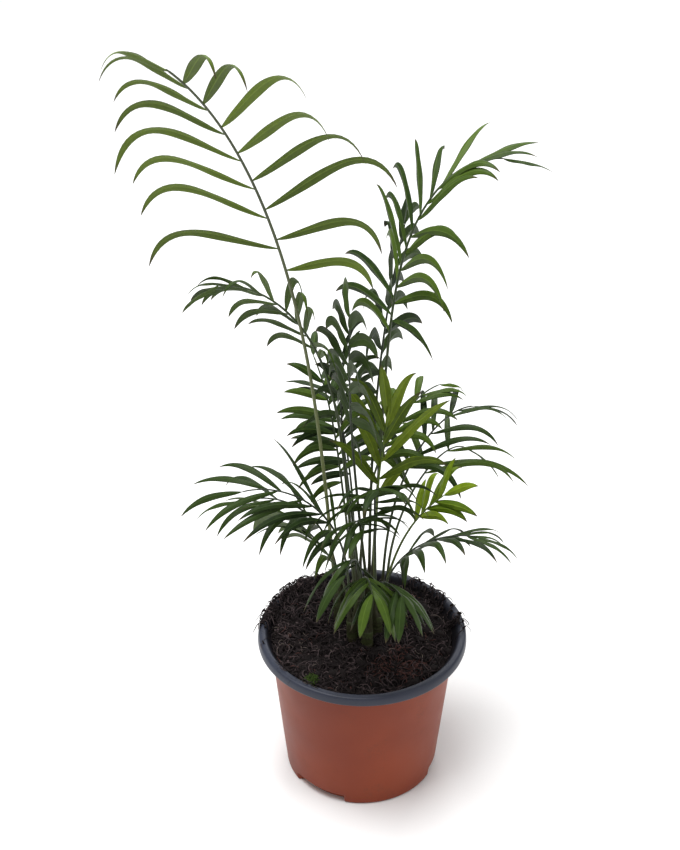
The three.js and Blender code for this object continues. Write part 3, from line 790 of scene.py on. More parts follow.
# %% A tuft of moss
MOSS_AT = (-32 * MM, -43 * MM)
MOSS_RADIUS = 4.5 * MM
MOSS_SHOOTS = 260
SHOOT_LENGTH = 1.6 * MM
SHOOT_TIP_LIFT = 1.3 * MM
MOSS_SEEDS = dict(starts=35, walks=36, girths=37)
moss_starts = scattered(MOSS_SHOOTS, MOSS_SEEDS["starts"], MOSS_AT, MOSS_RADIUS)
moss_lengths = np.full(MOSS_SHOOTS, SHOOT_LENGTH)
moss_lines = walk_fibres(moss_starts, moss_lengths, 0.15, 1.8 * MM, MOSS_SEEDS["walks"])
moss_lines[..., 2] += np.linspace(0, SHOOT_TIP_LIFT, moss_lines.shape[1])
moss = fibre_mesh("moss_tuft", moss_lines, 0.3 * MM, MOSS_SEEDS["girths"])
place_piece(moss, [fibre_finishes["moss"]])
print("moss shoots:", MOSS_SHOOTS)

# %% [markdown]
# ## Peat spilled on the rim
#
# A pot is filled by hand, so some peat always lies on the rim: a heap at the back left, where
# the pot was filled last, and a few loose fibres elsewhere. A spilled bit rests on whatever is
# under it. So one more rule gives that height: the bed inside, the rim's top around it, and a
# short climb between the two.

# %% Peat spilled on the rim
SPILLS = {
    # name: bearing, spread along the rim in degrees, radius, how many, heap height, furthest
    "back_left": (138, 18, 60 * MM, 300, 1.4 * MM, RIM_OUTER - 0.3 * MM),
    "left": (168, 3, 62 * MM, 22, 1 * MM, RIM_OUTER + 4 * MM),
    "right": (10, 4, 61 * MM, 18, 0.8 * MM, RIM_OUTER + 3 * MM),
    "back_right": (40, 14, 58 * MM, 70, 0.4 * MM, RIM_OUTER - 1 * MM),
    "front_left": (228, 8, 56 * MM, 30, 0.5 * MM, RIM_OUTER - 3 * MM),
}


def rest_height(x, y):
    """Height of the bed or the rim under a spilled bit of peat."""
    reach = np.hypot(x, y)
    climb = softened(PEAT_EDGE - 2 * MM, RIM_INNER + 1 * MM, reach)
    past_rim = softened(RIM_OUTER - 0.5 * MM, RIM_OUTER + 4 * MM, reach)
    rim_top = RIM_TOP + 0.3 * MM - 5 * MM * past_rim
    return (1 - climb) * ground(x, y) + climb * rim_top


def spilled_points(spill, seed):
    """Places in one spill, and how high each may lie in its heap."""
    bearing, along_rim, middle, count, heap, furthest = spill
    own = np.random.default_rng(seed)
    turn = np.radians(bearing + along_rim * own.normal(0, 1, count))
    radius = middle + 2.6 * MM * own.normal(0, 1, count)
    radius = np.clip(radius, middle - 7 * MM, min(RIM_OUTER, furthest) - 1 * MM)
    centre = 1 - softened(0, 1.6, np.abs(turn - math.radians(bearing)) / math.radians(along_rim))
    height = heap * centre * (1 - softened(1 * MM, 6 * MM, np.abs(radius - middle + 2 * MM)))
    return np.stack([radius * np.cos(turn), radius * np.sin(turn)], -1), height


SPILL_SEEDS = dict(places=120, sizes=130, shapes=140, walks=150, girths=160)
SPILLED_GIRTH = 0.36 * MM
for number, (name, spill) in enumerate(SPILLS.items()):
    places, heap = spilled_points(spill, SPILL_SEEDS["places"] + number)
    own = np.random.default_rng(SPILL_SEEDS["sizes"] + number)
    sizes = own.uniform(0.3, 1.3, len(places)) * MM
    lift = rest_height(places[:, 0], places[:, 1]) + heap * own.uniform(0.1, 1, len(places))
    crumbs = np.concatenate([places, (lift + 0.2 * sizes)[:, None]], axis=1)
    seed = SPILL_SEEDS["shapes"] + number
    mesh = crumb_mesh(f"spilled_crumbs_{name}", crumbs, sizes, (0.4, 0.9), seed)
    place_piece(mesh, [peat_dark])
    lengths = own.uniform(3, 12, len(places)) * MM
    seed = SPILL_SEEDS["walks"] + number
    lines = walk_fibres(places, lengths, 0.4, 2 * MM, seed, rest_height, spill[-1])
    lines[..., 2] += (heap + 0.2 * MM)[:, None]
    one_in_four = np.s_[3::4]
    by_kind = {"brown": lines[one_in_four], "dark": np.delete(lines, one_in_four, axis=0)}
    for kind, some in by_kind.items():
        seed = SPILL_SEEDS["girths"] + number
        mesh = fibre_mesh(f"spilled_{kind}_{name}", some, SPILLED_GIRTH, seed)
        place_piece(mesh, [fibre_finishes[kind]])
    print("spilled", name, len(places))

# %% [markdown]
# ## The fronds' rule
#
# A frond is a rib with leaflets down both sides. Each rib starts nearly upright on its cane
# and leans further and further over towards its tip, and each leaflet leaves the rib at an
# angle that closes towards the tip, then hangs under its own weight. No two leaflets do quite
# the same. The numbers below are those of the solids, so the finer blades made here lie where
# the solid ones do. Lengths are metres and angles degrees.
#
# A frond carries its leaflets in one of nine habits: `spread` is their angle to the rib,
# `rise` their lift, `droop` how far they hang and `late` how far out they start to. Where
# there are two values, the first holds at the foot of the blade and the second at its tip.

# %% The canes' and fronds' numbers
CANE_FOOT = 3.7 * MM
CANE_TOP = 3.2 * MM
CANE_RING = 1.9 * MM
CLEAR = 0.3 * MM
CANES = {
    # x, y, lean, bearing, height
    "stem_1": (-6 * MM, -2 * MM, 3, 230, 16 * MM),
    "stem_2": (-14 * MM, 15 * MM, 2, 180, 26 * MM),
    "stem_3": (-2 * MM, 10 * MM, 2, 160, 22 * MM),
    "stem_4": (4 * MM, 17 * MM, 2, 60, 28 * MM),
    "stem_5": (13 * MM, 18 * MM, 3, 40, 20 * MM),
    "stem_6": (9 * MM, 4 * MM, 3, 320, 15 * MM),
    "stem_7": (-3 * MM, 26 * MM, 3, 90, 24 * MM),
    "stem_8": (3 * MM, -7 * MM, 3, 300, 12 * MM),
}
HABITS = {
    "sweeping": dict(spread=(76, 30), rise=(4, 18), droop=(5, 2), late=4.5, skew=2, tail=0.45,
                     stray=5),
    "bundled": dict(spread=(72, 0), rise=(0, 10), droop=(2, 0.5), late=2.6, skew=0, tail=0.65,
                    stray=12),
    "open": dict(spread=(62, 22), rise=(0, -5), droop=(2.2, 1.4), late=2.6, skew=0, tail=0.6,
                 stray=12),
    "short": dict(spread=(76, 30), rise=(-5, -5), droop=(1.3, 1), late=2.2, skew=0, tail=0.7,
                  stray=11),
    "broad": dict(spread=(60, 25), rise=(0, 0), droop=(3, 2), late=2.4, skew=0, tail=0.7,
                  stray=14),
    "fine": dict(spread=(58, 18), rise=(10, 0), droop=(1.9, 1.4), late=2.4, skew=0, tail=0.8,
                 stray=8),
    "hanging": dict(spread=(50, 14), rise=(-15, -5), droop=(1.4, 0.9), late=2, skew=0,
                    tail=0.8, stray=9),
    "fountain": dict(spread=(75, 35), rise=(-15, -20), droop=(3.4, 2.6), late=1.1, skew=0,
                     tail=0.75, stray=12),
    "young": dict(spread=(52, 10), rise=(5, 0), droop=(1.4, 0.5), late=2.4, skew=0, tail=0.8,
                  stray=18),
}
STRAY_LENGTH = 0.13
STRAY_DROOP = 0.45
STRAY_LATE = 0.2
STRAY_LIFT = 1.4
FRONDS = {
    "frond_1": dict(cane="stem_2", spot=200, habit="sweeping", bearing=215, sweep=30,
                    lean=(5, 54), bow=2.3, stalk=235, blade=180, roll=65, twist=-60, pairs=8,
                    leaflet=84, width=6.2, tone="olive"),
    "frond_2": dict(cane="stem_4", spot=335, habit="bundled", bearing=45, sweep=-35,
                    lean=(3, 105), bow=6.5, stalk=175, blade=135, roll=20, twist=-20, pairs=13,
                    leaflet=54, width=5.8, tone="mid"),
    "frond_3": dict(cane="stem_4", spot=90, habit="broad", bearing=70, sweep=0,
                    lean=(0, 45), bow=2, stalk=130, blade=105, roll=80, twist=0, pairs=8,
                    leaflet=42, width=7.5, tone="deep"),
    "frond_4": dict(cane="stem_3", spot=235, habit="open", bearing=190, sweep=-10,
                    lean=(4, 95), bow=4.5, stalk=175, blade=80, roll=20, twist=30, pairs=9,
                    leaflet=44, width=5, tone="mid"),
    "frond_5": dict(cane="stem_4", spot=215, habit="broad", bearing=250, sweep=0,
                    lean=(14, -6), bow=3, stalk=130, blade=80, roll=-40, twist=0, pairs=8,
                    leaflet=40, width=7.5, tone="deep"),
    "frond_6": dict(cane="stem_3", spot=120, habit="short", bearing=150, sweep=-35,
                    lean=(8, 60), bow=5, stalk=80, blade=85, roll=-20, twist=20, pairs=8,
                    leaflet=32, width=5, tone="mid"),
    "frond_7": dict(cane="stem_3", spot=0, habit="short", bearing=110, sweep=30,
                    lean=(14, -10), bow=3, stalk=90, blade=75, roll=0, twist=0, pairs=7,
                    leaflet=36, width=5.4, tone="deep"),
    "frond_8": dict(cane="stem_1", spot=215, habit="hanging", bearing=200, sweep=-20,
                    lean=(0, 110), bow=2.2, stalk=60, blade=80, roll=-10, twist=-20, pairs=10,
                    leaflet=56, width=4.6, tone="deep"),
    "frond_9": dict(cane="stem_1", spot=110, habit="hanging", bearing=170, sweep=-45,
                    lean=(5, 125), bow=1.5, stalk=40, blade=65, roll=40, twist=20, pairs=9,
                    leaflet=48, width=5, tone="mid"),
    "frond_10": dict(cane="stem_6", spot=340, habit="open", bearing=-10, sweep=0,
                     lean=(0, 95), bow=1.3, stalk=40, blade=60, roll=-10, twist=-10, pairs=10,
                     leaflet=46, width=5.2, tone="deep"),
    "frond_11": dict(cane="stem_5", spot=12, habit="fine", bearing=45, sweep=10,
                     lean=(0, 130), bow=1.5, stalk=70, blade=65, roll=30, twist=-20, pairs=8,
                     leaflet=62, width=4.6, tone="mid"),
    "frond_12": dict(cane="stem_5", spot=125, habit="fine", bearing=45, sweep=0,
                     lean=(3, 115), bow=2, stalk=80, blade=75, roll=0, twist=-10, pairs=9,
                     leaflet=52, width=4.6, tone="deep"),
    "frond_13": dict(cane="stem_6", spot=100, habit="young", bearing=-40, sweep=-10,
                     lean=(-6, 12), bow=1, stalk=85, blade=65, roll=-40, twist=0, pairs=5,
                     leaflet=50, width=6.8, tone="lime"),
    "frond_14": dict(cane="stem_5", spot=262, habit="young", bearing=-20, sweep=-5,
                     lean=(10, 45), bow=1.5, stalk=62, blade=34, roll=60, twist=0, pairs=4,
                     leaflet=34, width=5.6, tone="fresh"),
    "frond_15": dict(cane="stem_1", spot=320, habit="fountain", bearing=-75, sweep=-10,
                     lean=(14, 90), bow=1.6, stalk=45, blade=55, roll=0, twist=0, pairs=8,
                     leaflet=42, width=6.5, tone="mid"),
    "frond_16": dict(cane="stem_8", spot=330, habit="fountain", bearing=275, sweep=20,
                     lean=(4, 90), bow=1.4, stalk=45, blade=50, roll=0, twist=0, pairs=8,
                     leaflet=42, width=6.5, tone="deep"),
    "frond_17": dict(cane="stem_7", spot=145, habit="short", bearing=100, sweep=10,
                     lean=(3, 100), bow=2, stalk=70, blade=75, roll=0, twist=0, pairs=9,
                     leaflet=38, width=5, tone="deep"),
    "frond_18": dict(cane="stem_7", spot=35, habit="open", bearing=55, sweep=-10,
                     lean=(4, 100), bow=2, stalk=75, blade=75, roll=0, twist=0, pairs=9,
                     leaflet=42, width=5.2, tone="mid"),
    "frond_19": dict(cane="stem_2", spot=310, habit="open", bearing=290, sweep=-10,
                     lean=(9, 80), bow=1.8, stalk=50, blade=60, roll=0, twist=0, pairs=8,
                     leaflet=40, width=5, tone="deep"),
    "frond_20": dict(cane="stem_8", spot=200, habit="fountain", bearing=250, sweep=10,
                     lean=(4, 95), bow=2, stalk=60, blade=50, roll=0, twist=0, pairs=8,
                     leaflet=44, width=6, tone="deep"),
    "frond_21": dict(cane="stem_2", spot=80, habit="fine", bearing=170, sweep=15,
                     lean=(6, 110), bow=1.8, stalk=45, blade=55, roll=0, twist=0, pairs=8,
                     leaflet=50, width=4.8, tone="deep"),
    "frond_22": dict(cane="stem_6", spot=220, habit="open", bearing=255, sweep=20,
                     lean=(2, 65), bow=2.2, stalk=85, blade=60, roll=0, twist=0, pairs=8,
                     leaflet=44, width=6, tone="deep"),
}
for frond in FRONDS.values():
    for length in ("stalk", "blade", "leaflet", "width"):
        frond[length] *= MM
LONGEST_FROND = max(frond["stalk"] + frond["blade"] for frond in FRONDS.values())
print("canes:", len(CANES), "fronds:", len(FRONDS))

# %% The line of a rib
RIB_FOOT = 1.3 * MM
RIB_MIDDLE = 0.95 * MM
RIB_TIP = 0.6 * MM
SLICES = 48


def wobble(*keys):
    """A repeatable number from -1 to 1 for a set of whole numbers."""
    total = sum((key + 1) * (12.9898 + 65.2333 * i) for i, key in enumerate(keys))
    value = math.sin(total) * 43758.5453
    return 2 * (value - math.floor(value)) - 1


def heading(lean, bearing):
    """Unit vector at a lean from the vertical and a bearing, both in degrees."""
    lean, bearing = math.radians(lean), math.radians(bearing)
    side = math.sin(lean)
    return np.array([side * math.cos(bearing), side * math.sin(bearing), math.cos(lean)])


def cane_point(cane, height):
    """Where a cane's axis is at a height above the peat under it."""
    x, y, lean, bearing, _ = cane
    lift = heading(lean, bearing)
    return np.array([x, y, float(peat_height(x, y))]) + lift * height / lift[2]


def between(pair, share):
    """The value at a share of the way from the first of a pair to the second."""
    return pair[0] + (pair[1] - pair[0]) * share


def rib_heading(frond, s):
    """Direction of a rib at a share of its length."""
    lean = between(frond["lean"], s ** frond["bow"])
    return heading(lean, frond["bearing"] + frond["sweep"] * s)


def rib_line(frond):
    """Points and directions of a rib from foot to tip."""
    cane = CANES[frond["cane"]]
    spot = math.radians(frond["spot"])
    top = cane_point(cane, cane[4])
    place = top + [CANE_RING * math.cos(spot), CANE_RING * math.sin(spot), CLEAR]
    step = (frond["stalk"] + frond["blade"]) / SLICES
    points, ways = [], []
    for i in range(SLICES + 1):
        points.append(place.copy())
        ways.append(rib_heading(frond, i / SLICES))
        place = place + step * rib_heading(frond, (i + 0.5) / SLICES)
    return np.array(points), np.array(ways)


def rib_frame(frond, line, s):
    """Point, direction, left side and upper side of the blade at a share of the rib."""
    points, ways = line
    i = min(int(s * SLICES), SLICES - 1)
    part = s * SLICES - i
    place = points[i] + (points[i + 1] - points[i]) * part
    way = unit(ways[i] + (ways[i + 1] - ways[i]) * part)
    bearing = math.radians(frond["bearing"] + frond["sweep"] * s)
    level = np.array([-math.sin(bearing), math.cos(bearing), 0])
    level = unit(level - way * level.dot(way))
    up = np.cross(way, level)
    roll = math.radians(frond["roll"] + frond["twist"] * s)
    left = level * math.cos(roll) + up * math.sin(roll)
    return place, way, left, up * math.cos(roll) - level * math.sin(roll)


def rib_radius(frond, s):
    """A stalk thins fast, and the rib of the blade slowly. A long frond's rib is stouter."""
    whole = frond["stalk"] + frond["blade"]
    split = frond["stalk"] / whole
    stalk = RIB_FOOT + (RIB_MIDDLE - RIB_FOOT) * np.minimum(1, s / split)
    blade = (RIB_TIP - RIB_MIDDLE) * np.maximum(0, (s - split) / (1 - split))
    return (stalk + blade) * (0.62 + 0.32 * whole / LONGEST_FROND)


# %% [markdown]
# ## Leaflets
#
# A leaflet of this palm is a narrow blade that ends in a long fine point. It is folded along
# its midrib like a shallow roof, most at its foot, and it has one raised vein down the middle
# and a weaker one on each side. That section is drawn once, as heights across the blade, and
# carried along the leaflet's line. The upper and lower skins meet at the margins, so each
# leaflet is a closed body a quarter of a millimetre thick.
#
# On the crowded plant a few leaflets had to turn aside so as not to run through a neighbour.
# The solids settled which: each leaflet was tried at a few turns, in a fixed order, and left
# out where none was free. Here each turn is held against the solid frond, and the one whose
# points lie on the solid is the one that is drawn.

# %% The line of a leaflet
TURNS = ((0, 0), (12, 0), (-12, 0), (0, 11), (0, -11), (24, 0), (-24, 0), (14, -14), (-14, -14))
REACH_AT_FOOT = 0.72
LONGEST_AT = 0.3
LEAF_STEPS = 24
SOLID_STATIONS = (0.3, 0.62, 1.0)
ON_SOLID = 0.9 * MM


def leaflet_reach(u, tail):
    """Length of a leaflet at a share of the blade, as a share of the longest."""
    if u < LONGEST_AT:
        return REACH_AT_FOOT + (1 - REACH_AT_FOOT) * math.sin(math.pi / 2 * u / LONGEST_AT)
    return 1 - (1 - tail) * ((u - LONGEST_AT) / (1 - LONGEST_AT)) ** 1.5


def leaflet_width(v):
    """Narrow foot, widest halfway, long fine tip."""
    return 2.88 * (v + 0.012) ** 0.75 * (1 - v) ** 0.85


def leaflet_line(frond, number, line, k, side, turn):
    """Points, directions and upper sides along leaflet k on a side (1 or -1)."""
    u = (k + (0.15 if side > 0 else 0.85)) / frond["pairs"]
    s = (frond["stalk"] + frond["blade"] * u) / (frond["stalk"] + frond["blade"])
    place, way, left, up = rib_frame(frond, line, s)
    habit = HABITS[frond["habit"]]
    w1, w2, w3, w4, w5 = [wobble(number, k, side + 1, q) for q in range(5)]
    opening = between(habit["spread"], u) + side * habit["skew"] + habit["stray"] * w1
    angle = math.radians(opening + turn[1])
    rise = math.radians(between(habit["rise"], u) + STRAY_LIFT * habit["stray"] * w2 + turn[0])
    length = frond["leaflet"] * leaflet_reach(u, habit["tail"]) * (1 + STRAY_LENGTH * w3)
    droop = between(habit["droop"], u) * (1 + STRAY_DROOP * w4)
    late = habit["late"] * (1 + STRAY_LATE * w5)
    out = side * math.sin(angle) * math.cos(rise)
    start = way * math.cos(angle) + left * out + up * math.sin(angle) * math.sin(rise)

    def way_at(v):
        return unit(start - np.array([0, 0, droop * v ** late]))

    points, ways, faces = [], [], []
    face = up
    for i in range(LEAF_STEPS + 1):
        along = way_at(i / LEAF_STEPS)
        face = unit(face - along * face.dot(along))
        points.append(place)
        ways.append(along)
        faces.append(face)
        place = place + way_at((i + 0.5) / LEAF_STEPS) * length / LEAF_STEPS
    return np.array(points), np.array(ways), np.array(faces)


def tree_of(node):
    """A search tree over the faces of a solid."""
    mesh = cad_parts[node].data
    corners = [v.co for v in mesh.vertices]
    return BVHTree.FromPolygons(corners, [tuple(p.vertices) for p in mesh.polygons])


def lies_on(tree, points):
    """Whether a leaflet's points at the solid's own stations lie on the solid."""
    for v in SOLID_STATIONS:
        i = min(int(v * LEAF_STEPS), LEAF_STEPS - 1)
        place = points[i] + (points[i + 1] - points[i]) * (v * LEAF_STEPS - i)
        if tree.find_nearest(Vector(place))[3] > ON_SOLID:
            return False
    return True


# %% The section of a leaflet
ACROSS = np.array([-1, -0.8, -0.5, -0.2, -0.06, 0, 0.06, 0.2, 0.5, 0.8, 1])
SKIN = 0.13 * MM
VEIN = 0.13 * MM


def leaflet_rings(frond, points, ways, faces, luck):
    """Rings of a leaflet and the marks that its finish reads, both (stations, ring, 3)."""
    v = np.linspace(0, 1, len(points))
    half = frond["width"] / 2 * np.maximum(0.025, leaflet_width(np.minimum(v, 0.998)))
    twist = math.radians(34) * (luck[0] - 0.5) * v * (1.4 - v)
    wide = np.cross(ways, faces)
    turned = wide * np.cos(twist)[:, None] + faces * np.sin(twist)[:, None]
    upper = np.cross(turned, ways)
    fold = 0.12 + 0.5 * (1 - v) ** 1.5 * softened(0, 0.06, v)
    wave = 0.1 * np.sin(2 * math.pi * (2.2 * v + luck[1])) * np.sin(math.pi * v)
    t = ACROSS[None, :]
    roof = -half[:, None] * np.abs(t) * (fold[:, None] + wave[:, None] * np.sign(t))
    vein = VEIN * (1 - v)[:, None] ** 0.5 * (np.abs(t) < 0.01)
    vein = vein + 0.35 * VEIN * (np.abs(np.abs(t) - 0.5) < 0.01)
    skin = SKIN * (1 - np.abs(t) ** 3) * (0.3 + 0.7 * np.minimum(1, half / MM))[:, None]
    over, under = roof + skin + vein, roof - skin - 0.6 * vein

    def skin_points(heights, columns):
        reach = half[:, None] * ACROSS[None, columns]
        return (points[:, None] + turned[:, None] * reach[..., None]
                + upper[:, None] * heights[:, columns, None])

    top = np.arange(len(ACROSS))
    back = top[-2:0:-1]
    rings = np.concatenate([skin_points(over, top), skin_points(under, back)], 1)
    across = np.concatenate([ACROSS[top], ACROSS[back]])
    below = np.concatenate([np.zeros(len(top)), np.ones(len(back))])
    marks = np.stack(np.broadcast_arrays(across[None, :], v[:, None], luck[2]), -1)
    sides = np.stack(np.broadcast_arrays(below[None, :], luck[3], v[:, None] * 0), -1)
    return rings, marks, sides


# %% [markdown]
# ## Finishes of the leaves
#
# A living leaf is never one green. Veins are paler than the blade, the underside is greyer
# than the top, the tip dries out first, and each leaflet has its own age. All of that follows
# the blade and not the room, so each point of a leaflet carries marks: how far across it is,
# how far along, whether it is on the underside, and two random numbers for its leaflet.
#
# Thin leaves also let light through. A share of a Translucent shader does that: the side
# turned away from the lamps glows a little instead of going black.
#
# The fronds of one plant differ in age. Old ones are deep green, young ones lime. Each frond
# gets one of five finishes for its leaflets and one for its stalk, which differ in colour.

# %% Finishes of the leaves
def leaf_green(name, body, fresh, shine):
    """Leaf skin between a body colour and a fresher one."""
    finish, shader, place = start_finish(name)
    across, along, age = marks_on(finish, "blade")
    below, freshness, _ = marks_on(finish, "skin")

    stretched = vector_of(
        finish, reckon(finish, "MULTIPLY", across, 9), along, reckon(finish, "MULTIPLY", age, 40)
    )
    veins = grain(finish, stretched, 2.2, detail=3, roughness=0.6)
    mottle = grain(finish, place, 260, detail=3)
    tone = reckon(finish, "MULTIPLY_ADD", freshness, 0.55, reckon(finish, "MULTIPLY", mottle, 0.5))
    green = colours_along(finish, tone, [(0.15, body), (0.85, fresh)])
    streak = spread(finish, veins, 0.72, 1.3)
    green = blend(finish, 1, green, add_node(
        finish, "ShaderNodeCombineColor", {"Red": streak, "Green": streak, "Blue": streak}
    ).outputs["Color"], "MULTIPLY")

    from_midrib = reckon(finish, "ABSOLUTE", across)
    midrib = step_between(finish, from_midrib, 0.03, 0.1, 0.5, 0)
    green = blend(finish, midrib, green, tuple(1.6 * c + 0.015 for c in fresh))
    grey_green = tuple(0.7 * c + 0.3 * g for c, g in zip(fresh, shade("5f6d46")))
    green = blend(finish, reckon(finish, "MULTIPLY", below, 0.25), green, grey_green)
    near_tip = reckon(finish, "MULTIPLY_ADD", freshness, -0.05, along)
    dry = step_between(finish, near_tip, 0.86, 0.96)
    green = blend(finish, dry, green, shade("4a3f2b"))
    join(finish, green, shader, "Base Color")
    join(finish, spread(finish, mottle, shine, shine + 0.16), shader, "Roughness")
    join(finish, bumps(finish, veins, 0.3, 0.0002), shader, "Normal")
    shader.inputs["Specular IOR Level"].default_value = 0.2

    glow = add_node(finish, "ShaderNodeBsdfTranslucent", {"Color": green})
    mixed = add_node(finish, "ShaderNodeMixShader", {0: 0.16, 1: shader.outputs[0],
                                                      2: glow.outputs[0]})
    finish.node_tree.links.new(
        mixed.outputs[0], finish.node_tree.nodes["Material Output"].inputs["Surface"]
    )
    return finish


LEAF_TONES = {
    "deep": leaf_green("leaf_deep", shade("15260d"), shade("354a18"), 0.4),
    "mid": leaf_green("leaf_mid", shade("1f3411"), shade("4b621b"), 0.4),
    "olive": leaf_green("leaf_olive", shade("3c4f19"), shade("6b8029"), 0.38),
    "fresh": leaf_green("leaf_fresh", shade("45600f"), shade("7c931d"), 0.4),
    "lime": leaf_green("leaf_lime", shade("2b450d"), shade("7b8f1a"), 0.4),
}


SHEATH = shade("33331d")


def stalk_green(name, foot, tip):
    """A stalk with a dull brown sheath, then one colour that turns to another at its tip."""
    finish, shader, place = start_finish(name)
    around, along, layer = marks_on(finish, "blade")
    long_grain = vector_of(
        finish, reckon(finish, "MULTIPLY", around, 6), reckon(finish, "MULTIPLY", along, 3), layer
    )
    fibres = grain(finish, long_grain, 3, detail=3)
    place_on = reckon(finish, "MULTIPLY_ADD", fibres, 0.2, along)
    colour = colours_along(finish, place_on, [(0.11, SHEATH), (0.2, foot), (0.8, tip)])
    join(finish, colour, shader, "Base Color")
    join(finish, spread(finish, grain(finish, place, 300), 0.42, 0.6), shader, "Roughness")
    join(finish, bumps(finish, fibres, 0.3, 0.0002), shader, "Normal")
    return finish


STALK_TONES = {
    "deep": stalk_green("stalk_deep", shade("353f1f"), shade("1e2a15")),
    "mid": stalk_green("stalk_mid", shade("3e4824"), shade("2c3b19")),
    "olive": stalk_green("stalk_olive", shade("7c8450"), shade("363f20")),
    "fresh": stalk_green("stalk_fresh", shade("56622d"), shade("55691f")),
    "lime": stalk_green("stalk_lime", shade("616e30"), shade("5f7423")),
}
print("leaf finishes:", sorted(LEAF_TONES))

# %% [markdown]
# ## Fronds
#
# Every frond is two pieces: its leaflets, and its stalk with the rib. At its foot a palm's
# stalk widens into a sheath that clasps the cane, and the sheaths of one cane wrap each other.
# So each stalk starts low on its cane, as wide as the cane, and narrows over a centimetre and
# a half to the stalk's own width.

# %% The stalks
STALK_SIDES = 10
STATION_GAP = 4 * MM
SHEATH_END = 14 * MM


def stalk_mesh(name, frond, line, layer):
    """Rib, stalk and clasping sheath of a frond as one tube."""
    cane = CANES[frond["cane"]]
    whole = frond["stalk"] + frond["blade"]
    s = np.linspace(0, 1, max(40, int(whole / STATION_GAP)))
    s = s[s * whole > SHEATH_END]
    rib = np.array([rib_frame(frond, line, share)[0] for share in s])
    foot = line[0][0]
    low = cane[4] - (6 + 1.5 * layer) * MM
    sheath = [cane_point(cane, max(-2 * MM, low + i * 2 * MM)) for i in range(3)]
    sheath.append(0.65 * cane_point(cane, cane[4]) + 0.35 * foot)
    sheath += [rib_frame(frond, line, reach * MM / whole)[0] for reach in (3.5, 7, 10.5)]
    clasp = CANE_TOP + (0.12 + 0.15 * layer) * MM
    slim = rib_radius(frond, 0)
    girth = [clasp * 0.97, clasp, clasp, clasp * 0.8, slim * 1.6, slim * 1.3, slim * 1.1]
    points = np.concatenate([sheath, rib])
    radii = np.concatenate([girth, rib_radius(frond, s)])
    radii[-1] *= 0.4
    rings = round_tubes(points[None], radii[None], STALK_SIDES)
    along = np.concatenate([np.zeros(len(sheath)), s])
    turn = np.linspace(0, 1, STALK_SIDES, endpoint=False)
    marks = np.stack(np.broadcast_arrays(turn[None, :], along[:, None], layer * 0.37), -1)
    return mesh_of(name, rings, tube_faces(*rings.shape[:3]), {"blade": marks})


# %% The fronds
def make_frond(name, number, layer):
    """The leaflets and the stalk of one frond, in place of its solid."""
    frond = FRONDS[name]
    line = rib_line(frond)
    tree = tree_of(name)
    rings, marks, sides = [], [], []
    for k in range(frond["pairs"]):
        for side in (1, -1):
            luck = [(1 + wobble(number, k, side + 1, q)) / 2 for q in (11, 12, 13, 14)]
            for turn in TURNS:
                points, ways, faces = leaflet_line(frond, number, line, k, side, turn)
                if lies_on(tree, points):
                    ring, mark, skin = leaflet_rings(frond, points, ways, faces, luck)
                    rings.append(ring)
                    marks.append(mark)
                    sides.append(skin)
                    break
    mesh = mesh_of(
        f"{name}_leaflets", rings, tube_faces(*np.shape(rings)[:3]),
        {"blade": marks, "skin": sides},
    )
    place_piece(mesh, [LEAF_TONES[frond["tone"]]], [name])
    stalk = stalk_mesh(f"{name}_stalk", frond, line, layer)
    place_piece(stalk, [STALK_TONES[frond["tone"]]], [name])
    return len(rings)


layers = dict.fromkeys(CANES, 0)
leaflets = {}
for number, (name, frond) in enumerate(FRONDS.items()):
    leaflets[name] = make_frond(name, number, layers[frond["cane"]])
    layers[frond["cane"]] += 1
print("leaflets:", sum(leaflets.values()), leaflets)

# %% [markdown]
# ## Canes
#
# Between the peat and the sheaths a little of each cane shows. Its own colour, brown at the
# peat and greener upward, is painted darker as shade under the fronds, and it is ringed with
# the scars of older leaves, like bamboo: a raised, dull brown line where each sheath was attached.

# %% Finish of the canes
def cane_green():
    """Mottled cane, brown at the peat and greener upward, painted dark as shade, with dull brown
    scars.
    """
    finish, shader, place = start_finish("cane")
    scar, height_share, _ = marks_on(finish, "blade")
    mottle = grain(finish, place, 240, detail=4)
    height = reckon(finish, "MULTIPLY_ADD", mottle, 0.25, height_share)
    # The cane's colours are kept dark: its own colour with painted shade under the fronds.
    colour = colours_along(
        finish, height, [(0.1, shade("2c2117")), (0.35, shade("363a1f")), (0.9, shade("404a27"))]
    )
    join(finish, blend(finish, scar, colour, shade("2e2618")), shader, "Base Color")
    join(finish, spread(finish, mottle, 0.4, 0.62), shader, "Roughness")
    join(finish, bumps(finish, mottle, 0.25, 0.0003), shader, "Normal")
    return finish


cane_finish = cane_green()


# %% The canes
CANE_SIDES = 24
CANE_SUNK = 3 * MM
CANE_FLARE = 0.5 * MM
SCAR_SPACING = 5.5 * MM
SCAR_WIDTH = 0.35 * MM
SCAR_HEIGHT = 0.3 * MM


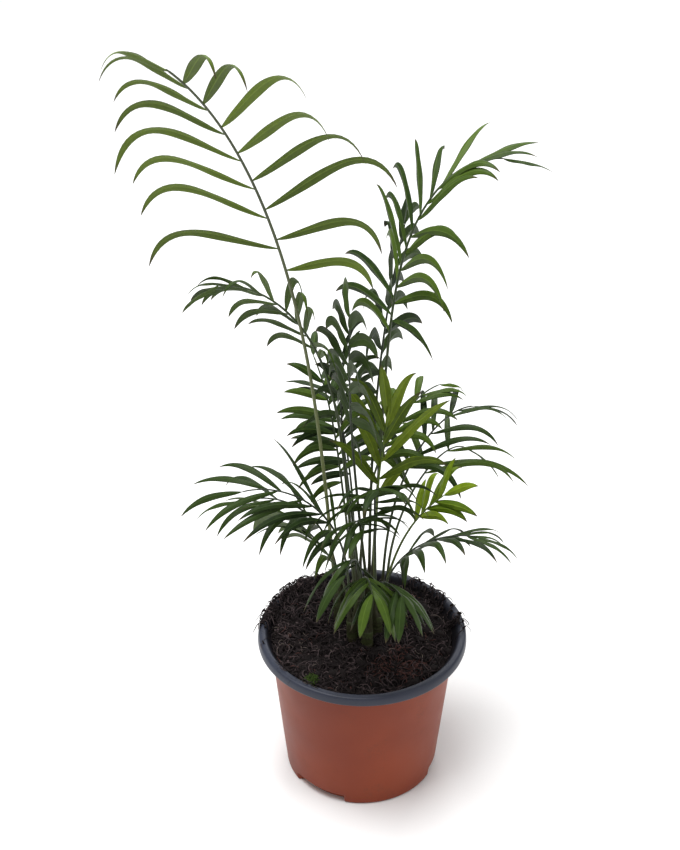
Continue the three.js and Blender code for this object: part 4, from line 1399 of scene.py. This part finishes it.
def make_cane(name, number):
    """A cane from under the peat to its top, a little flared at its foot, and ringed."""
    cane = CANES[name]
    height = np.linspace(-CANE_SUNK, cane[4], 40)
    share = np.maximum(0, height) / cane[4]
    radius = CANE_FOOT + (CANE_TOP - CANE_FOOT) * share
    radius = radius + CANE_FLARE * (1 - softened(0, 3 * MM, height))
    from_scar = (height + 1.7 * MM * number) % SCAR_SPACING - 2.7 * MM
    scar = np.exp(-(from_scar / SCAR_WIDTH) ** 2)
    radius = radius + SCAR_HEIGHT * scar
    line = np.array([cane_point(cane, h) for h in height])
    rings = round_tubes(line[None], radius[None], CANE_SIDES)
    empty = np.zeros((1, CANE_SIDES))
    marks = np.stack(np.broadcast_arrays(scar[:, None], share[:, None], empty), -1)
    mesh = mesh_of(f"{name}_cane", rings, tube_faces(*rings.shape[:3]), {"blade": marks})
    return place_piece(mesh, [cane_finish], [name])


for number, name in enumerate(CANES):
    make_cane(name, number)
print("canes made:", len(CANES))

# %% [markdown]
# ## Floor
#
# The floor only has to be pale, plain and wide enough to fill the picture.

# %% Floor
FLOOR_WIDTH = 14
FLOOR_GAP = 0.2 * MM


def make_floor():
    """A wide pale plane just under the pot, which is scenery and not part of the plant."""
    bpy.ops.mesh.primitive_plane_add(size=FLOOR_WIDTH, location=(0, 0, -FLOOR_GAP))
    floor = bpy.context.object
    floor.name = "floor"
    finish, shader, place = start_finish("pale_floor")
    drift = grain(finish, place, 3, detail=1)
    colour = colours_along(finish, drift, [(0, (0.9, 0.9, 0.9)), (1, (0.92, 0.92, 0.92))])
    join(finish, colour, shader, "Base Color")
    shader.inputs["Roughness"].default_value = 0.9
    floor.data.materials.append(finish)
    floor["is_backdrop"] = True


make_floor()

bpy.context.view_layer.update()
triangles = {
    piece.name: sum(len(p.vertices) - 2 for p in piece.data.polygons)
    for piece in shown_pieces() if piece.type == "MESH"
}
print("pieces:", len(triangles), "triangles:", sum(triangles.values()),
      "most in one:", max(triangles, key=triangles.get), max(triangles.values()))
